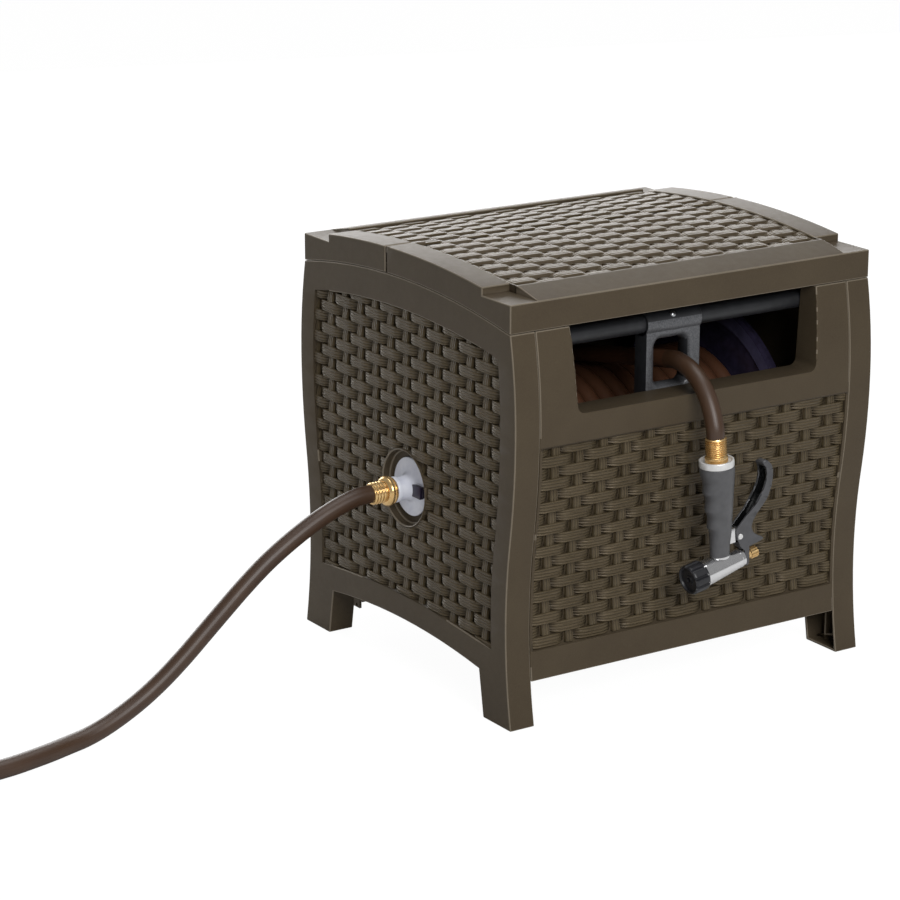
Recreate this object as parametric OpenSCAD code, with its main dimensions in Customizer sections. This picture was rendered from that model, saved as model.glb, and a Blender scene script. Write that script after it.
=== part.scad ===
// Garden hose reel box: a moulded resin cabinet with a wicker look, on four legs.
// Millimetres. X runs along the front, the front faces -Y, Z is up.
// The origin is on the ground in the middle of the four feet.

/* [Cabinet] */
// Overall width across the side panels
body_w = 538; // [520:1:560]
// Half depth at the feet
foot_y = 237.5; // [234:0.5:244]
// Half depth at the waist, the narrowest height
waist_y = 225.5; // [222:0.5:228]
// Height of the waist
waist_z = 130; // [110:1:150]
// Half depth at the bulge, the widest height
bulge_y = 243.2; // [240:0.2:247]
// Height of the bulge
bulge_z = 365; // [350:1:380]
// Half depth of the lid
lid_y = 231; // [229:0.5:234]
// Width of each corner post, seen from the front
post_w = 35; // [32:1:40]
// Length of each foot, seen from the side
foot_len = 58.5; // [50:0.5:64]
// Wall of the moulded panels
wall = 3; // [2.5:0.1:3.5]
// Height of the side arch at its corners
arch_end_z = 59.6; // [54:0.2:64]
// Height of the side arch in the middle
arch_mid_z = 71.8; // [66:0.2:76]
// Bottom edge of the front and rear panels
front_low_z = 54; // [50:1:58]

/* [Wicker fields] */
// Depth of the recess that holds the weave
field_deep = 8; // [6:0.5:9]
// Margin between a side panel's edge and its field
field_margin = 31; // [26:1:36]
// Bottom of the front and rear fields
field_low_z = 91; // [86:1:98]
// Top of the front field
field_top_z = 345.5; // [330:0.5:352]
// Margin above the side fields at their corners
top_margin = 34; // [26:1:46]
// Bottom of the side fields at their corners
side_field_low = 91.5; // [88:0.5:104]

// Distance between the stakes of the side fields
side_stake = 35.1; // [33:0.1:37]
// Distance between the straps of the side fields
side_row = 14.35; // [13.5:0.05:15.5]
// Distance between the stakes of the lid's field
lid_stake = 34.7; // [33:0.1:37]
// Distance between the straps of the lid's field
lid_row = 14.3; // [13.5:0.05:15.5]
// Depth of a strap's crown below the face
strap_deep = 2.3; // [1.5:0.1:4]

/* [Window] */
// Half width of the window at its top
window_top_x = 185; // [170:1:190]
// Half width of the window at its bottom
window_low_x = 180; // [165:1:184]
// Sill of the window
window_z = 381; // [372:1:390]
// Depth of the window's reveal at the sill
reveal = 40; // [34:1:42]
// Corner radius of the window
window_r = 10; // [6:1:14]

/* [Lid] */
// Lower edge of the lid at its corners
lid_low_z = 486; // [482:0.5:490]
// Rise of the lid's lower edge towards the middle of a side
lid_rise = 22; // [14:0.5:24]
// Height of the lid at its four corner squares
corner_h = 35; // [32:0.5:38]
// Width of the raised side rims
rim_w = 39; // [35:1:43]
// Half length of the raised side rims
rim_y = 172; // [165:1:180]
// Height of a rim's ends above the corner squares
rim_end_h = 9.6; // [7:0.2:12]
// Rise of a rim towards its middle
rim_rise = 10.4; // [8:0.2:13]
// Place of the lid's hinge line behind the middle
hinge_y = 34; // [28:1:40]
// Radius of the rounded edge at the hinge
knuckle_r = 4; // [3.6:0.1:4.4]
// Radius of the hinge pins
hinge_pin_r = 2; // [1.6:0.1:2.4]

/* [Reel] */
// Place of the reel's axis behind the middle
reel_y = 0; // [-4:1:8]
// Height of the reel's axis
reel_z = 243; // [241:1:248]
// Distance from a side panel's face to the flange beside it
flange_gap = 72; // [68:1:78]
// Radius of the flanges
flange_r = 178; // [172:1:180]
// Radius of the drum
drum_r = 45; // [40:1:50]
// Radius of the outer layer of wound hose, at its centre line
wound_r = 111; // [104:0.5:114]
// Radius of the bearing journals
journal_r = 16; // [14:0.5:18]
// Radius of the round ports in the side panels
port_r = 47.5; // [46:0.5:49]
// Depth of the ports below the panel's face
port_deep = 14; // [12:0.5:16]

/* [Crank] */
// Distance from the reel's axis to the crank handle
crank_throw = 112; // [100:1:125]
// Length of the crank handle
knob_len = 84; // [70:1:92]

/* [Hose and guide] */
// Outside diameter of the hose
hose_d = 22.5; // [21.5:0.1:22.9]
// Radius of the guide's rod
rod_r = 11.5; // [10:0.5:13]
// Place of the rod in front of the middle
rod_y = -190; // [-192:0.5:-188]
// Distance from the lid's lower corner down to the rod
rod_drop = 24.5; // [22:0.5:27]
// Width of the sliding guide
guide_w = 85; // [78:1:92]
// Place of the guide along the rod
guide_x = -8; // [-20:1:20]
// Width of the eye in the guide
eye_w = 52; // [46:1:56]
// Height of the eye's sill above the window's
eye_sill = 3; // [1:0.5:7]
// Height of the eye
eye_h = 58; // [54:0.5:59]

/* [Hidden] */
// Heights that follow from the lid's and the window's
lid_low_mid = lid_low_z + lid_rise;
corner_z = lid_low_z + corner_h;
rim_end_z = corner_z + rim_end_h;
crown_z = rim_end_z + rim_rise;
side_field_top = lid_low_z - top_margin;
rod_z = lid_low_z - rod_drop;
eye_low_z = window_z + eye_sill;
eye_top_z = eye_low_z + eye_h;

face_x = body_w / 2;
inner_x = face_x - post_w;
slit = 0.5;                 // visible gap between two moulded parts
play = 0.3;                 // gap between parts that lie on each other
running = 0.05;             // radial play of a shaft in its bore
steps = 12;                 // segments of a long curved edge
tongue = 12;                // how far a front panel reaches behind a corner post
floor_z = front_low_z + wall + play;
reel_half = face_x - flange_gap;
port_step = 9;              // depth of the port's wide part
collar_t = 2;               // thickness of the ring round a port
hose_r = hose_d / 2;
resin = "#544c40";
dark = "#26262a";
white = "#c9cfdb";
brass = "#c8963c";
chrome = "#c4c6c8";
hose_color = "#3b2a20";

// Curved front and rear edges of the cabinet: two tangent arcs and a shoulder, as parabolas
low_k = (foot_y - waist_y) / pow(waist_z, 2);
rise = bulge_z - waist_z;
up_k = 1 / (pow(rise, 2) / (bulge_y - waist_y) - 1 / low_k);
bend_z = waist_z + rise * up_k / (low_k + up_k);
top_k = (bulge_y - lid_y) / pow(lid_low_z - bulge_z, 2);
function edge_y(z) = z < bend_z ? waist_y + low_k * pow(z - waist_z, 2)
    : z < bulge_z ? bulge_y - up_k * pow(z - bulge_z, 2)
    : bulge_y - top_k * pow(z - bulge_z, 2);
function lerp(a, b, t) = a + (b - a) * t;
function arch(y, end_y, end_z, mid_z) = mid_z - (mid_z - end_z) * pow(y / end_y, 2);
function lid_line(y) = arch(y, lid_y, lid_low_z, lid_low_mid);
function rim_line(y) = arch(y, rim_y, rim_end_z, crown_z);

// Extrudes an outline given in (y, z) along X from x0 to x1
module along_x(x0, x1) {
    translate([x0, 0, 0]) rotate([90, 0, 90]) linear_extrude(x1 - x0) children();
}
// Extrudes an outline given in (x, z) along Y from y0 to y1
module along_y(y0, y1) {
    translate([0, y1, 0]) rotate([90, 0, 0]) linear_extrude(y1 - y0) children();
}
// A round bar along X from x0 to x1
module bar_x(x0, x1, r) {
    translate([x0, 0, 0]) rotate([0, 90, 0]) cylinder(h = x1 - x0, r = r, $fn = 64);
}
module at_reel() translate([0, reel_y, reel_z]) children();
module both_ends() { children(); mirror([1, 0, 0]) children(); }

// Outline of a side panel in (y, z), drawn in by inset
leg_y = foot_y - foot_len;
arch_y = leg_y - 10;
function side_outline(inset) = concat(
    [for (i = [0:steps * 2]) let (z = lerp(inset, lid_low_z - slit - inset, i / (steps * 2)))
        [-edge_y(z) + inset, z]],
    [for (i = [1:steps - 1]) let (y = lerp(-lid_y + inset, lid_y - inset, i / steps))
        [y, lid_line(y) - slit - inset]],
    [for (i = [steps * 2:-1:0]) let (z = lerp(inset, lid_low_z - slit - inset, i / (steps * 2)))
        [edge_y(z) - inset, z]],
    [[leg_y + inset, inset]],
    [for (i = [0:steps]) let (y = lerp(arch_y + inset, -arch_y - inset, i / steps))
        [y, arch(y, arch_y, arch_end_z, arch_mid_z) + inset]],
    [[-leg_y - inset, inset]]);

// Outline of a side panel's wicker field, grown by wall where grow is wall
function side_field(grow) = let (low = side_field_low - grow, top = side_field_top + grow,
        half = field_margin - grow) concat(
    [for (i = [0:steps * 2]) let (z = lerp(low, top, i / (steps * 2))) [-edge_y(z) + half, z]],
    [for (i = [1:steps - 1]) let (w = edge_y(top) - half, y = lerp(-w, w, i / steps))
        [y, arch(y, w, top, top + 17)]],
    [for (i = [steps * 2:-1:0]) let (z = lerp(low, top, i / (steps * 2))) [edge_y(z) - half, z]],
    [for (i = [1:steps - 1]) let (w = edge_y(low) - half, y = lerp(w, -w, i / steps))
        [y, arch(y, w, low, low + 11.5)]]);

// Outline of one row of the weave, a strap that rises over every second stake; heights from the face
function strap_row(pitch, odd, half) = let (count = ceil(half / pitch / 2)) concat(
    [for (j = [-count:count]) let (c = pitch * (2 * j + odd)) each
        [[c - 0.78 * pitch, -field_deep - 0.5], [c - 0.48 * pitch, -strap_deep],
        [c + 0.48 * pitch, -strap_deep], [c + 0.78 * pitch, -field_deep - 0.5]]],
    [[pitch * (2 * count + 2), -field_deep - 1.5], [-pitch * (2 * count + 2), -field_deep - 1.5]]);
strap_fill = 0.86;          // a strap's width as a share of its row
module side_straps() intersection() {
    union() for (m = [1:25]) translate([face_x, 0, side_field_low - 0.65 + (m - strap_fill / 2) * side_row])
        linear_extrude(strap_fill * side_row)
            polygon([for (p = strap_row(side_stake, (m + 1) % 2, bulge_y)) [p.y, p.x]]);
    along_x(face_x - field_deep - wall, face_x) polygon(side_field(1));
}

module side_panel() {
    pan = field_deep + wall;
    cup = port_deep + wall;
    color(resin) difference() {
        union() {
            difference() {
                union() {
                    difference() {
                        along_x(inner_x, face_x) polygon(side_outline(0));
                        along_x(inner_x - 1, face_x - wall) polygon(side_outline(wall));
                    }
                    along_x(face_x - pan, face_x) polygon(side_field(wall));
                    at_reel() bar_x(face_x - cup, face_x - field_deep, port_r + wall);
                    // lip that keys the panel into the lid's skirt
                    difference() {
                        along_x(face_x - 2 * wall - play, face_x - wall - play)
                            polygon(side_lip(lid_seat));
                        along_x(face_x - 3 * wall, face_x) polygon(side_outline(wall));
                    }
                    intersection() {
                        leg_ribs();
                        along_x(inner_x, face_x - wall / 2) polygon(side_outline(wall / 2));
                    }
                    at_reel() port_ribs(cup);
                }
                along_x(face_x - field_deep, face_x + 1) polygon(side_field(0));
            }
            // ring that stands in the weave, flush with the panel's face
            at_reel() bar_x(face_x - field_deep - 1, face_x - slit, port_r + collar_t);
            side_straps();
        }
        at_reel() bar_x(face_x - port_step, face_x + 1, port_r);
        at_reel() bar_x(face_x - port_deep, face_x + 1, port_r - wall);
        at_reel() bar_x(inner_x, face_x + 1, bush_r + running);
        // slot for the floor's snap tab
        translate([tab_x - tab_t / 2 - play, tab_y - tab_w / 2 - play, arch_end_z])
            cube([tab_t + 2 * play, tab_w + 2 * play, tab_top - arch_end_z + wall]);
    }
}
lid_seat = 12;              // how far the keying lip stands into the lid
function side_lip(up) = concat(
    [for (i = [0:steps]) let (y = lerp(-lip_y, lip_y, i / steps)) [y, lid_line(y) - wall]],
    [for (i = [steps:-1:0]) let (y = lerp(-lip_y, lip_y, i / steps)) [y, lid_line(y) + up]]);
lip_y = lid_y - 4 * wall;
bush_r = journal_r + 6;

// Upright and slanting webs inside the two legs
module leg_ribs() {
    web = 2.5;
    for (s = [-1, 1]) for (i = [0:1]) {
        y = s * (leg_y + foot_len * (i + 1) / 3);
        translate([rib_x, y - web / 2, wall / 2]) cube([face_x - rib_x - wall / 2, web, rib_top]);
        translate([rib_x, s * (leg_y + foot_len / 2) - foot_len / 2 + wall / 2,
            foot_len * (i + 0.35)]) rotate([s * 18, 0, 0])
            cube([face_x - rib_x - wall / 2, foot_len - 2 * wall, web]);
    }
}
rib_top = 118;
rib_x = inner_x + tongue + 2;

// Short ribs round the bearing seat, on the inside of the panel
module port_ribs(cup) {
    for (a = [30:60:330]) rotate([a, 0, 0])
        translate([face_x - cup - 6, -1.25, bush_r + 2]) cube([7, 2.5, port_r - bush_r]);
    difference() {
        bar_x(face_x - cup - 6, face_x - cup + 1, bush_r + wall);
        bar_x(face_x - cup - 7, face_x - cup + 2, bush_r);
    }
}

// A sheet that follows the cabinet's front edge, between two heights and two insets
function front_sheet(low, top, out, in) = concat(
    [for (i = [0:steps * 2]) let (z = lerp(low, top, i / (steps * 2))) [-edge_y(z) + out, z]],
    [for (i = [steps * 2:-1:0]) let (z = lerp(low, top, i / (steps * 2))) [-edge_y(z) + in, z]]);
front_top_z = lid_low_z - slit;
front_half = inner_x - slit;
field_half = inner_x - 4;
module front_sheets(field_top) {
    difference() {
        union() {
            along_x(-front_half, front_half) polygon(front_sheet(front_low_z, front_top_z, 0, wall));
            along_x(-front_half, front_half)
                polygon(front_sheet(field_low_z - wall, field_top + wall, 0, field_deep + wall));
            // tongues that lie behind the corner posts
            both_ends() along_x(front_half - 6, inner_x + tongue)
                polygon(front_sheet(front_low_z + 8, front_top_z - 8, wall + play, 2 * wall + play));
            // flange along the bottom edge that carries the floor
            along_x(-front_half, front_half) polygon([[-edge_y(floor_z) + wall / 2, front_low_z],
                [-edge_y(floor_z) + wall / 2, front_low_z + wall], [-ledge_y, front_low_z + wall],
                [-ledge_y, front_low_z]]);
            // lip that keys the panel into the lid
            both_ends() keying_lip(window_top_x + 6, front_half - 6);
        }
        along_x(-field_half, field_half)
            polygon(front_sheet(field_low_z, field_top, -10, field_deep));
        screw_holes(-1);
    }
}
ledge_y = waist_y - 22;

// Window outline in (x, z), grown by grow
function window_outline(grow) = let (low = window_z - grow, top = front_top_z + 1,
        wide = window_low_x + grow, r = window_r + grow) concat(
    [[-window_top_x - grow, top]],
    [for (a = [180:15:270]) [-wide + r + r * cos(a), low + r + r * sin(a)]],
    [for (a = [270:15:360]) [wide - r + r * cos(a), low + r + r * sin(a)]],
    [[window_top_x + grow, top]]);
// Depth of the webs under the window's sill
sill_web = 20;
reveal_y = -edge_y(window_z) + reveal;
module front_panel() {
    color(resin) difference() {
        union() {
            front_sheets(field_top_z);
            intersection() {
                difference() {
                    along_y(-bulge_y, reveal_y) polygon(window_outline(wall));
                    along_y(-bulge_y - 1, reveal_y + 1) polygon(window_outline(0));
                }
                along_x(-body_w, body_w)
                    polygon(front_sheet(window_z - sill_web, front_top_z, 0, 2 * reveal));
            }
            // webs under the sill
            for (i = [-2.5:2.5]) translate([i * window_low_x / 3 - 1.25, -edge_y(window_z) + wall / 2,
                    window_z - sill_web - 2]) cube([2.5, reveal - wall, sill_web]);
        }
        along_y(-bulge_y - 1, reveal_y + 1) polygon(window_outline(0));
    }
}
rear_field_top = lid_low_z - 46.5;
module rear_panel() {
    color(resin) mirror([0, 1, 0]) union() {
        front_sheets(rear_field_top);
        keying_lip(-window_top_x, window_top_x);
    }
}
// Lip that stands up behind the lid's skirt, with a foot that joins it to the panel
module keying_lip(x0, x1) {
    low = front_top_z - 14;
    foot = front_top_z - 8;
    back = -lid_y + 2 * wall + play;
    along_x(x0, x1) polygon([[-edge_y(low) + wall / 2, low], [back, low],
        [back, front_top_z + lid_seat], [back - wall, front_top_z + lid_seat],
        [back - wall, foot], [-edge_y(foot) + wall / 2, foot]]);
}

// Snap tabs of the floor, one at the rear of each side, seen below the side arches
tab_x = face_x - 14;
tab_y = 131;
tab_w = 14;
tab_t = 3;
tab_low = floor_z - 10.3;
tab_top = arch_mid_z + wall / 2;
floor_half = inner_x - 2;
rib_deep = floor_z - front_low_z;
module floor_panel() {
    deep = edge_y(floor_z) - wall - play;
    color(resin) difference() {
        union() {
            translate([-floor_half, -deep, floor_z]) cube([2 * floor_half, 2 * deep, wall]);
            for (i = [-3:3]) translate([-inner_x + 14, i * 60 - 1.25, floor_z - rib_deep])
                cube([2 * inner_x - 28, 2.5, rib_deep + 1]);
            for (i = [-4:4]) translate([i * 50 - 1.25, -ledge_y + 6, floor_z - rib_deep])
                cube([2.5, 2 * ledge_y - 12, rib_deep + 1]);
            both_ends() {
                translate([floor_half - 1, tab_y - tab_w, floor_z])
                    cube([tab_x + tab_t / 2 - floor_half + 1, 2 * tab_w, wall]);
                translate([tab_x - tab_t / 2, tab_y - tab_w / 2, tab_low])
                    cube([tab_t, tab_w, tab_top - tab_low]);
            }
        }
        // drain holes
        for (x = [-175:50:175]) for (y = [-90, 90]) translate([x, y, floor_z - 6])
            cylinder(h = wall + 8, r = 6, $fn = 32);
        both_ends() translate([tab_x - tab_t, tab_y, tab_low + 3.7])
            rotate([0, 90, 0]) cylinder(h = 2 * tab_t, r = 2.2, $fn = 24);
        for (s = [-1, 1]) screw_holes(s);
    }
}

// Lid: raised side rims, corner squares, sloping front and rear bands, a recessed field
rim_in = face_x - rim_w;
band_y = rim_y + 18;
field_drop = 8;
function crown(drop, half, n) = [for (i = [0:n]) let (y = lerp(-half, half, i / n))
    [y, rim_line(y) - drop]];
function lid_profile(drop, low) = concat([[lid_y, lid_low_z - low]],
    [for (i = [0:steps]) let (y = lerp(lid_y, -lid_y, i / steps)) [y, lid_line(y) - low]]);
function reversed(a) = [for (i = [len(a) - 1:-1:0]) a[i]];
lid_skirt = concat([for (i = [0:steps]) let (y = lerp(-lid_y, lid_y, i / steps)) [y, lid_line(y)]]);
module lid_shape() {
    band_z = rim_line(rim_y);
    difference() {
        union() {
            // rims with a step down to the corner squares
            both_ends() along_x(rim_in, face_x) polygon(concat(lid_skirt,
                [[lid_y, corner_z], [rim_y, corner_z]], reversed(crown(0, rim_y, steps * 2)),
                [[-rim_y, corner_z], [-lid_y, corner_z]]));
            // bands that slope up from the front and rear edges, and the field between them
            along_x(-rim_in, rim_in) polygon(concat(lid_skirt,
                [[lid_y, corner_z], [band_y, band_z], [band_y - 6, band_z]],
                reversed(crown(field_drop, band_y - 6, steps * 2)),
                [[-band_y + 6, band_z], [-band_y, band_z], [-lid_y, corner_z]]));
        }
        // hollow below
        along_x(-face_x + wall, face_x - wall) polygon(concat(
            [[-lid_y + wall, lid_low_z - 30], [lid_y - wall, lid_low_z - 30],
            [lid_y - wall, corner_z - wall], [band_y - 2, corner_z - wall]],
            reversed(crown(field_drop + wall, band_y - 8, steps * 2)),
            [[-band_y + 2, corner_z - wall], [-lid_y + wall, corner_z - wall]]));
        both_ends() along_x(rim_in + wall, face_x - wall) polygon(concat(
            [[-rim_y + wall, corner_z - wall - 1]], [[rim_y - wall, corner_z - wall - 1]],
            reversed(crown(wall, rim_y - wall, steps * 2))));
        along_x(-rim_in + wall, rim_in - wall) for (s = [-1, 1])
            polygon([[s * (lid_y - wall), corner_z - wall - 1], [s * (lid_y - wall), corner_z - wall],
                [s * band_y, band_z - wall], [s * (band_y - 3), band_z - wall],
                [s * (band_y - 3), corner_z - wall - 1]]);
    }
}
hinge_z = rim_line(hinge_y) - knuckle_r;
// Straps of the lid's field on one side of the hinge, counted from it
module lid_straps(side, rows) intersection() {
    union() for (m = [1:rows]) let (y = hinge_y + knuckle_r / 2 + side * (m + 0.05) * lid_row)
        translate([0, y, rim_line(y)])
            rotate([90 - atan(2 * (crown_z - rim_end_z) * y / pow(rim_y, 2)), 0, 0])
                translate([0, 0, -strap_fill * lid_row / 2]) linear_extrude(strap_fill * lid_row)
                    polygon(strap_row(lid_stake, m % 2, rim_in));
    translate([-rim_in - 1, -band_y + 5, corner_z - wall]) cube([2 * rim_in + 2, 2 * band_y - 10, 40]);
}
ear_x = rim_in - 15;        // inner end of the rear lid's knuckles
// Everything on one side of the hinge line, from below the lid to above it
module side_of_hinge(from, to) translate([-body_w, from, 0]) cube([2 * body_w, to - from, crown_z + 9]);
module lid_front() {
    color(resin) difference() {
        union() {
            intersection() { lid_shape(); side_of_hinge(-2 * lid_y, hinge_y); }
            lid_straps(-1, 14);
            // rounded rear edge that turns about the hinge pins
            both_ends() translate([0, hinge_y, hinge_z]) bar_x(rim_in, face_x, knuckle_r);
            both_ends() translate([rim_in, hinge_y - 10, hinge_z - knuckle_r])
                cube([rim_w, 10, knuckle_r]);
            lid_ribs(-1);
        }
        // notches for the rear lid's knuckles
        both_ends() translate([ear_x - play, hinge_y - knuckle_r - 2, hinge_z - 20])
            cube([rim_in - ear_x + play, 20, 30]);
        both_ends() translate([0, hinge_y, hinge_z]) bar_x(ear_x, face_x - wall, hinge_pin_r + running);
    }
}
module lid_rear() {
    color(resin) difference() {
        union() {
            intersection() { lid_shape(); side_of_hinge(hinge_y + knuckle_r + 1, 2 * lid_y); }
            lid_straps(1, 9);
            both_ends() translate([0, hinge_y, hinge_z])
                bar_x(ear_x, rim_in - play, knuckle_r - play);
            both_ends() translate([ear_x, hinge_y, hinge_z - 6])
                cube([rim_in - play - ear_x, 12, 6 + knuckle_r / 2]);
            lid_ribs(1);
        }
        both_ends() translate([0, hinge_y, hinge_z]) bar_x(ear_x - 1, rim_in, hinge_pin_r + running);
    }
}
// Stiffening webs under the field
module lid_ribs(s) {
    for (x = [-150:75:150]) intersection() {
        along_x(x - 1.25, x + 1.25) polygon(concat(crown(field_drop + 9, band_y - 8, steps * 2),
            reversed(crown(field_drop + wall / 2, band_y - 8, steps * 2))));
        side_of_hinge(s > 0 ? hinge_y + knuckle_r + 1 : -2 * lid_y,
            s > 0 ? 2 * lid_y : hinge_y - 12);
    }
}
module lid_hinge_pins() {
    color(dark) both_ends() translate([0, hinge_y, hinge_z])
        bar_x(ear_x + 2, face_x - wall - play, hinge_pin_r);
}

// Rod that the guide slides on, and the cups that hold it
rod_end = face_x - field_deep - wall - 2 * play - 2;
module at_rod() translate([0, rod_y, rod_z]) children();
module guide_rod() {
    color(dark) at_rod() difference() {
        bar_x(-rod_end, rod_end, rod_r);
        bar_x(-rod_end - 1, rod_end + 1, rod_r - 2);
    }
}
module rod_sockets() {
    color(resin) both_ends() at_rod() difference() {
        union() {
            bar_x(rod_end - 20, rod_end + 2 + play, rod_r + wall);
            bar_x(rod_end, rod_end + 2 + play, rod_r + 7);
        }
        bar_x(rod_end - 21, rod_end + play, rod_r + running);
    }
}

// Screws that hold the floor and the panels together, all of one kind
screw_r = 3.5;
screw_x = inner_x - 24;
screw_y = ledge_y + 5;
module panel_screws() {
    color(chrome) for (sx = [-1, 1]) for (sy = [-1, 1]) {
        translate([sx * screw_x, sy * screw_y, floor_z + wall]) union() {
            cylinder(h = 2.2, r = screw_r, $fn = 32);
            translate([0, 0, -wall - 6]) cylinder(h = wall + 6, r = screw_r / 2, $fn = 24);
        }
    }
}
module screw_holes(sy) {
    for (sx = [-1, 1]) translate([sx * screw_x, sy * screw_y, floor_z - 12])
        cylinder(h = 20, r = screw_r / 2 + running, $fn = 24);
}

// Hose couplings, the same at both ends of the leader hose
nut_len = 22;
nut_r = 18;
neck_r = 10;
nut_wall = 3;
neck_flange = 3;
thread_len = 12;
washer_len = 2.5;
// Water inlet: a white tube with a disc, fixed in the left port
disc_x = face_x - port_deep;        // face of the port's back plate
inlet_nut_x = face_x + 7;
spigot_x = inlet_nut_x + nut_len - nut_wall - neck_flange - 2 * play - washer_len;
spigot_r = 14;
inlet_disc_r = 37;
thread_r = 12.9;
module inlet_tube() {
    color(white) mirror([1, 0, 0]) at_reel() difference() {
        union() {
            bar_x(disc_x + play, disc_x + play + wall, inlet_disc_r);
            bar_x(disc_x, inlet_nut_x - 2, spigot_r);
            bar_x(inlet_nut_x - 6, inlet_nut_x - 2, spigot_r + 1.5);
            bar_x(inlet_nut_x - 3, spigot_x, thread_r);
            bar_x(hub_x, disc_x + play + wall, journal_r);
        }
        bar_x(hub_x - 1, spigot_x + 1, 8);
    }
}
hub_x = reel_half + 12;
// Ring round the spigot with a block beside it that locks the tube
module inlet_lock_clip() {
    color(dark) mirror([1, 0, 0]) at_reel() translate([disc_x + 2 * play + wall, 0, 0]) difference() {
        union() {
            translate([0, -inlet_disc_r + 3, -9]) cube([5, 21, 14]);
            bar_x(0, 3.4, spigot_r + 3.5);
        }
        bar_x(-1, 8, spigot_r + play);
    }
}
module inlet_washer() {
    color(dark) mirror([1, 0, 0]) at_reel() hose_washer(spigot_x);
}
module hose_washer(x0) difference() {
    bar_x(x0, x0 + washer_len, 12.2);
    bar_x(x0 - 1, x0 + washer_len + 1, 8);
}
// Swivel nut of a hose coupling, its open end at x0 and its back at x0 + nut_len
nut_profile = [[nut_r - 2.7, 0], [nut_r - 2.7, 3], [nut_r - 3.8, 3.6], [nut_r - 3.8, 4.6],
    [nut_r - 1.4, 5.4], [nut_r - 0.2, 7.6], [nut_r, 10], [nut_r, 13], [nut_r - 0.8, 15.5],
    [nut_r - 2.6, 18], [nut_r - 4.8, 20.4], [nut_r - 5.6, nut_len]];
module swivel_nut(x0) difference() {
    translate([x0, 0, 0]) rotate([0, 90, 0]) rotate_extrude($fn = 64)
        polygon(concat([[neck_r + 0.1, 0]], nut_profile, [[neck_r + 0.1, nut_len]]));
    bar_x(x0 - 1, x0 + nut_len - nut_wall, thread_r + 0.1);
    bar_x(x0 + thread_len, x0 + nut_len - nut_wall, thread_r + 0.4);
}
// Hose end of a coupling: a flange held in the nut, a neck and a ribbed crimped sleeve
sleeve_len = 18;
module ferrule(nut_x, ribs) {
    back = nut_x + nut_len;
    difference() {
        union() {
            bar_x(back - nut_wall - neck_flange - play, back - nut_wall - play, thread_r - 0.5);
            bar_x(back - nut_wall - 1, back + 1, neck_r);
            bar_x(back + play, back + play + sleeve_len, hose_r + 1.3);
            for (i = [0:ribs - 1]) translate([back + play + (i + 0.5) * sleeve_len / ribs, 0, 0])
                rib_ring(hose_r, hose_r + 2.5, sleeve_len / ribs / 2 - 0.3);
        }
        bar_x(back - nut_wall - 4, back + 1, 7.5);
    }
}
module rib_ring(r0, r1, half) rotate([0, 90, 0]) rotate_extrude($fn = 48)
    polygon([[r0, -half], [r1 - 0.6, -half], [r1, -half / 2], [r1, half / 2],
        [r1 - 0.6, half], [r0, half]]);
module inlet_nut() {
    color(brass) mirror([1, 0, 0]) at_reel() swivel_nut(inlet_nut_x);
}
module leader_ferrule() {
    color(brass) mirror([1, 0, 0]) at_reel() ferrule(inlet_nut_x, 5);
}
leader_x = -(inlet_nut_x + nut_len + play + sleeve_len);

// A tube of radius r along a list of points, with its frame carried along the route
function unit(v) = v / norm(v);
function heading(p, i) = i == 0 ? unit(p[1] - p[0])
    : i == len(p) - 1 ? unit(p[i] - p[i - 1]) : unit(p[i + 1] - p[i - 1]);
function carried(p, side, i = 0, done = []) = i == len(p) ? done
    : let (t = heading(p, i), s = unit(side - (side * t) * t))
        carried(p, s, i + 1, concat(done, [s]));
function upright(p, side) = [for (i = [0:len(p) - 1]) let (t = heading(p, i))
    unit(side - (side * t) * t)];
module sweep(p, r, sides, side, coiled = false) {
    s = coiled ? upright(p, side) : carried(p, side);
    n = len(p);
    rings = [for (i = [0:n - 1]) let (t = heading(p, i), u = s[i], w = cross(t, u))
        for (k = [0:sides - 1]) let (a = 360 * k / sides) p[i] + r * (cos(a) * u + sin(a) * w)];
    quads = [for (i = [0:n - 2]) for (k = [0:sides - 1]) let (m = (k + 1) % sides)
        [[i * sides + k, (i + 1) * sides + k, (i + 1) * sides + m],
        [i * sides + k, (i + 1) * sides + m, i * sides + m]]];
    polyhedron(concat(rings, [p[0], p[n - 1]]), concat([for (q = quads) for (f = q) f],
        [for (k = [0:sides - 1]) [n * sides, k, (k + 1) % sides]],
        [for (k = [0:sides - 1]) [n * sides + 1, (n - 1) * sides + (k + 1) % sides,
            (n - 1) * sides + k]]));
}

// The far end of the leader turns back on the ground in one wide bend
loop_x = -985;
loop_y = 58;
loop_r = 100;
loop_turn = 165;
loop_run = 150;             // straight run from the bend to the coupling
tap_z = nut_r;              // the coupling is thicker than the hose and lies on the ground
function climb(t) = hose_r + (tap_z - hose_r) * t * t * (3 - 2 * t);
loop_dir = [sin(-90 - loop_turn), -cos(-90 - loop_turn), 0];
bend_end = [loop_x + loop_r * cos(-90 - loop_turn), loop_y + loop_r * sin(-90 - loop_turn), 0];
loop_in_x = loop_x + 12;    // the bend starts with a short straight stretch
leader_coil_route = concat([[loop_in_x, loop_y - loop_r, hose_r]],
    [for (i = [0:14]) let (a = -90 - loop_turn * i / 14)
        [loop_x + loop_r * cos(a), loop_y + loop_r * sin(a), hose_r]],
    [for (i = [1:5]) bend_end + (loop_run - hose_d) * i / 5 * loop_dir + [0, 0, climb(i / 5)]],
    [bend_end + loop_run * loop_dir + [0, 0, tap_z]]);
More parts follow.
